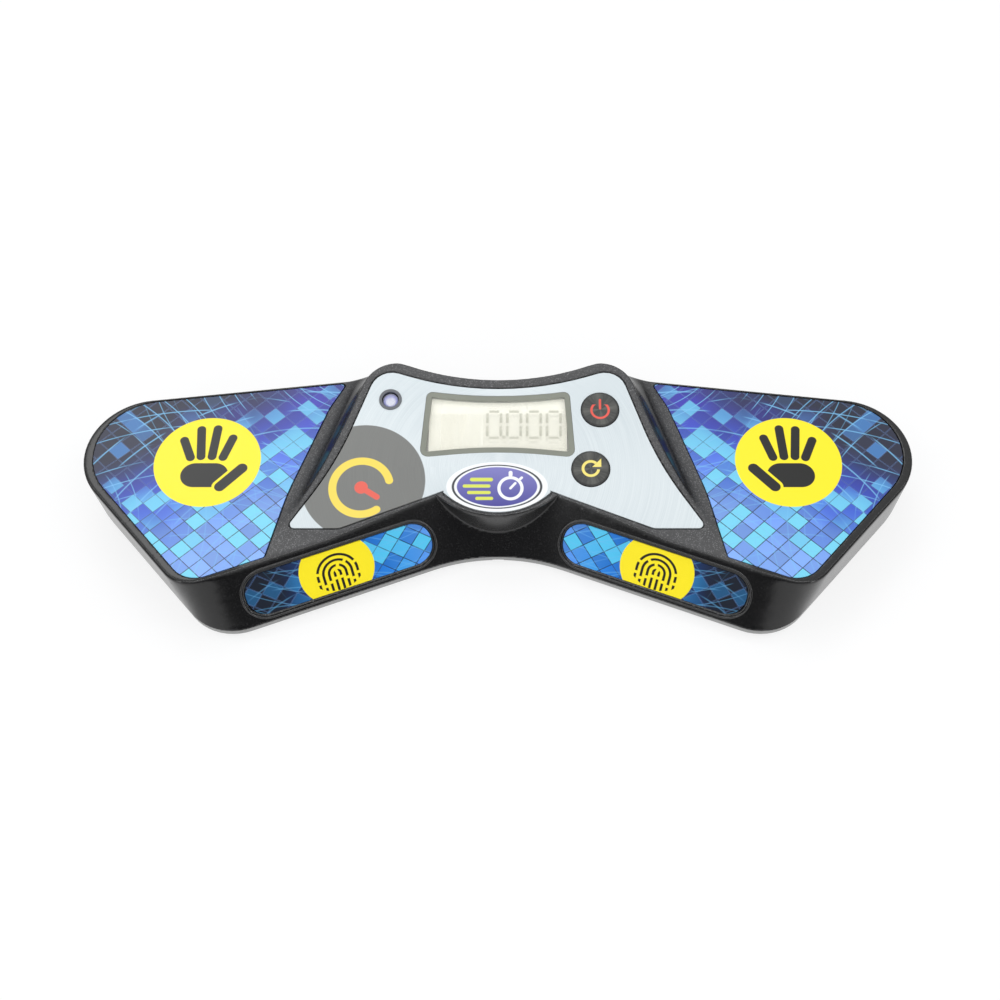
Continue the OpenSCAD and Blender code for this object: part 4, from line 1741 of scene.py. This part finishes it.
@dataclass
class FingerRims:
    """The thin raised line round each finger pad."""

    face: FrontFace
    slot: FingerSlot = field(default_factory=FingerSlot)
    off: float = 1.15
    thick: float = 0.42
    flat: float = 0.8
    sunk: float = 0.05
    finish: Moulded = Moulded("rim_black", srgb(22, 22, 23), 0.18, grain=0.05, specular=0.7)

    def path(self, k: int = 20) -> np.ndarray:
        """The line's middle on the front face.

        Args:
            k: steps of each rounded corner.

        Returns:
            Rows of (along, up, nx, ny), n being the outward direction.
        """
        out, r = [], self.slot.r + self.off
        for sx, sy, start in ((1, -1, -90), (1, 1, 0), (-1, 1, 90), (-1, -1, 180)):
            cx = self.slot.middle[0] + sx * (self.slot.half[0] + self.off - r)
            cy = self.slot.middle[1] + sy * (self.slot.half[1] + self.off - r)
            for j in range(k + 1):
                a = math.radians(start + 90 * j / k)
                out.append((cx + r * math.cos(a), cy + r * math.sin(a), math.cos(a),
                            math.sin(a)))
        return np.array(out)

    def build(self) -> None:
        """Makes both rims."""
        material = self.finish.make()
        for side, name in ((1, "right"), (-1, "left")):
            rim = self.rim(f"finger_rim_{name}", side, material)
            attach(rim, "timer")

    def rim(self, name: str, side: int, material: bpy.types.Material,
            turns: int = 12) -> bpy.types.Object:
        """Sweeps a flat oval section round one pad.

        Args:
            name: the piece's name.
            side: 1 for the right half, -1 for the left.
            material: its finish.
            turns: corners of the section.

        Returns:
            The object.
        """
        path, axes, points, faces = self.path(), self.face.axes(), [], []
        for along, up, nx, ny in path:
            for j in range(turns):
                a = 2 * math.pi * j / turns
                w = self.thick * math.cos(a)
                h = self.thick * math.sin(a) * self.flat - self.sunk
                point = np.array([along + nx * w, up + ny * w, h]) @ axes
                point += self.face.foot
                points.append((side * point[0], point[1], point[2]))
        n = len(path)
        for i in range(n):
            for j in range(turns):
                a, b = i * turns + j, i * turns + (j + 1) % turns
                c, d = ((i + 1) % n) * turns + (j + 1) % turns, ((i + 1) % n) * turns + j
                faces.append((a, b, c, d) if side < 0 else (a, d, c, b))
        return make_object(name, points, faces, material)


# ----------------------------------------------------------------- stage


@dataclass
class Studio:
    """Floor, lamps and the camera of the photograph's view; the camera in metres."""

    place: tuple[float, float, float] = (0.01425, -0.25744, 0.41839)
    down: float = 32.39
    lens: float = 54.0
    sensor: float = 36.0
    shift: float = -0.0426
    floor_half: float = 4000.0
    floor_z: float = -0.05
    floor_glow: float = 0.75
    dusk: Point = (0.2, 0.62)
    low_sky: Colour = (0.08, 0.08, 0.085, 1.0)
    high_sky: Colour = (0.96, 0.97, 0.98, 1.0)
    white: Colour = (1.0, 1.0, 1.0, 1.0)

    def camera(self) -> None:
        """Makes the camera and makes it the scene's."""
        data = bpy.data.cameras.new("camera")
        data.lens, data.sensor_width, data.shift_x = self.lens, self.sensor, self.shift
        data.clip_start, data.clip_end = 0.01, 20.0
        camera = bpy.data.objects.new("camera", data)
        camera.location = self.place
        camera.rotation_euler = Euler((math.radians(self.down), 0, 0))
        bpy.context.scene.collection.objects.link(camera)
        bpy.context.scene.camera = camera

    def floor(self) -> None:
        """Makes the white floor, which keeps the timer's shadow."""
        s = Shader("floor_white")
        grain = s.noise(s.vector(*s.place()), 0.02, 2.0)
        s.set(Base_Color=s.mix(grain, srgb(250, 250, 250), srgb(247, 247, 248)),
              Roughness=0.9)
        glow = s.node("ShaderNodeEmission", None, {"Color": self.white, "Strength": 1.0})
        looks = s.seen("Camera", "Glossy", "Transmission") * self.floor_glow
        mix = s.node("ShaderNodeMixShader", None, {
            0: looks, 1: s.surface.outputs[0], 2: glow.outputs[0]})
        s.show(mix.outputs[0])
        corners = [(x * self.floor_half, y * self.floor_half, self.floor_z)
                   for x, y in ((-1, -1), (1, -1), (1, 1), (-1, 1))]
        make_object("floor", corners, [(0, 1, 2, 3)], s.material, False)

    def lamp(self, name: str, at: Sequence[float], size: Point, watts: float) -> None:
        """Makes a soft lamp that looks at the timer.

        Args:
            name: the lamp's name.
            at: where it hangs, in metres.
            size: its width and height, in metres.
            watts: its power.
        """
        data = bpy.data.lights.new(name, "AREA")
        data.shape, data.size, data.size_y, data.energy = "RECTANGLE", *size, watts
        lamp = bpy.data.objects.new(name, data)
        lamp.location = at
        lamp.rotation_euler = (Vector((0, 0, 0.01)) - Vector(at)).to_track_quat(
            "-Z", "Y").to_euler()
        bpy.context.scene.collection.objects.link(lamp)

    def sky(self) -> None:
        """Makes a room that is dim near the floor and bright above."""
        world = bpy.data.worlds.new("studio")
        bpy.context.scene.world = world
        s = Nodes(world)
        rise = s.split(s.node("ShaderNodeTexCoord").outputs["Generated"])[2]
        room = s.node("ShaderNodeBackground", None, {
            "Color": s.mix(rise.ramp(*self.dusk), self.low_sky, self.high_sky),
            "Strength": 1.0})
        plain = s.node("ShaderNodeBackground", None, {
            "Color": self.white, "Strength": 1.0})
        mix = s.node("ShaderNodeMixShader", None, {
            0: s.seen("Camera"), 1: room.outputs[0], 2: plain.outputs[0]})
        s.show(mix.outputs[0])

    def light(self) -> None:
        """Makes the soft studio light."""
        self.sky()
        self.lamp("over_lamp", (-0.25, 0.8, 1.3), (0.9, 0.5), 3.6)
        self.lamp("left_lamp", (-1.0, -1.2, 0.4), (0.25, 0.6), 2.6)
        self.lamp("right_lamp", (1.0, -1.2, 0.4), (0.25, 0.6), 2.6)
        self.lamp("front_strip", (0.0, -0.75, 1.15), (1.4, 0.045), 2.0)
        self.lamp("left_strip", (-1.15, 0.1, 1.0), (0.045, 1.2), 1.6)
        self.lamp("right_strip", (1.15, 0.1, 1.0), (0.045, 1.2), 1.6)

    def build(self) -> None:
        """Makes the whole stage."""
        self.floor()
        self.light()
        bpy.context.scene.view_settings.view_transform = "Standard"


# ----------------------------------------------------------------- carried nodes


def dress(nodes: dict[str, bpy.types.Object]) -> None:
    """Gives every carried-over node its finish.

    Args:
        nodes: the frame's nodes by name.
    """
    finishes: dict[Any, tuple[str, ...]] = {
        # painted reflection: the bottom housing and battery door are painted light grey,
        # standing for the white floor reflected in the base's glossy plastic
        Moulded("base_grey_painted_reflection", srgb(146, 146, 145), 0.4, grain=0.2, grain_size=0.35):
            ("bottom_housing", "battery_door"),
        HandPadPrint(): ("hand_pad_right", "hand_pad_left"),
        FingerPadPrint(face=Housing().front_face()):
            ("finger_pad_right", "finger_pad_left"),
        Moulded("copper_foil", srgb(214, 140, 92), 0.3, 0.9, 0.1, 1.5):
            ("hand_plate_right", "hand_plate_left", "finger_plate_right",
             "finger_plate_left"),
        SpunSilver(): ("display_overlay",),
        Moulded("grey_print", srgb(128, 131, 120), 0.35, grain=0.08): ("lcd_bezel",),
        Clear("window_clear", srgb(238, 240, 238), 0.14): ("lcd_window",),
        Crystal(): ("lcd_glass",),
        Moulded("ivory_frame", srgb(206, 202, 190), 0.5): ("lcd_holder",),
        Moulded("silicone_strip", srgb(216, 122, 148), 0.6, grain=0.1):
            ("lcd_contact_strips",),
        Moulded("solder_mask", srgb(26, 96, 52), 0.35, grain=0.15): ("main_board",),
        Moulded("black_resin", srgb(24, 24, 27), 0.35, grain=0.1):
            ("controller_chip", "button_switches", "buzzer", "data_jack"),
        Moulded("tinned", srgb(196, 196, 190), 0.28, 0.9, 0.1, 1.0):
            ("board_parts", "sensor_posts", "battery_contacts"),
        Moulded("red_plunger", srgb(150, 60, 46), 0.45, grain=0.1):
            ("power_plunger", "reset_plunger"),
        Moulded("ring_grey", srgb(96, 99, 104), 0.35, grain=0.1): ("lamp_ring",),
        Moulded("cell_sleeve", srgb(84, 92, 104), 0.3, 0.4, 0.08, 2.0):
            ("battery_cells",),
        Moulded("zinc_screw", srgb(168, 170, 174), 0.3, 0.95, 0.15, 0.6):
            ("housing_screws", "board_screws"),
        Moulded("rubber", srgb(40, 40, 40), 0.85, grain=0.5): ("rubber_feet",),
    }
    for finish, names in finishes.items():
        material = finish.make()
        for name in names:
            mesh = nodes[name].data
            mesh.materials.clear()
            mesh.materials.append(material)
            LOG.info("dressed %s in %s", name, material.name)


def main() -> None:
    """Builds the scene in order."""
    logging.basicConfig(level=logging.INFO, format="%(name)s: %(message)s")
    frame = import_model()
    studio = Studio()
    studio.camera()
    dress(frame["nodes"])
    step = 0.36
    TopShell().build(step, 0.01, FlakeSatin().make())
    FingerRims(Housing().front_face()).build()
    Controls().build()
    studio.build()


if __name__ == "__main__":
    main()
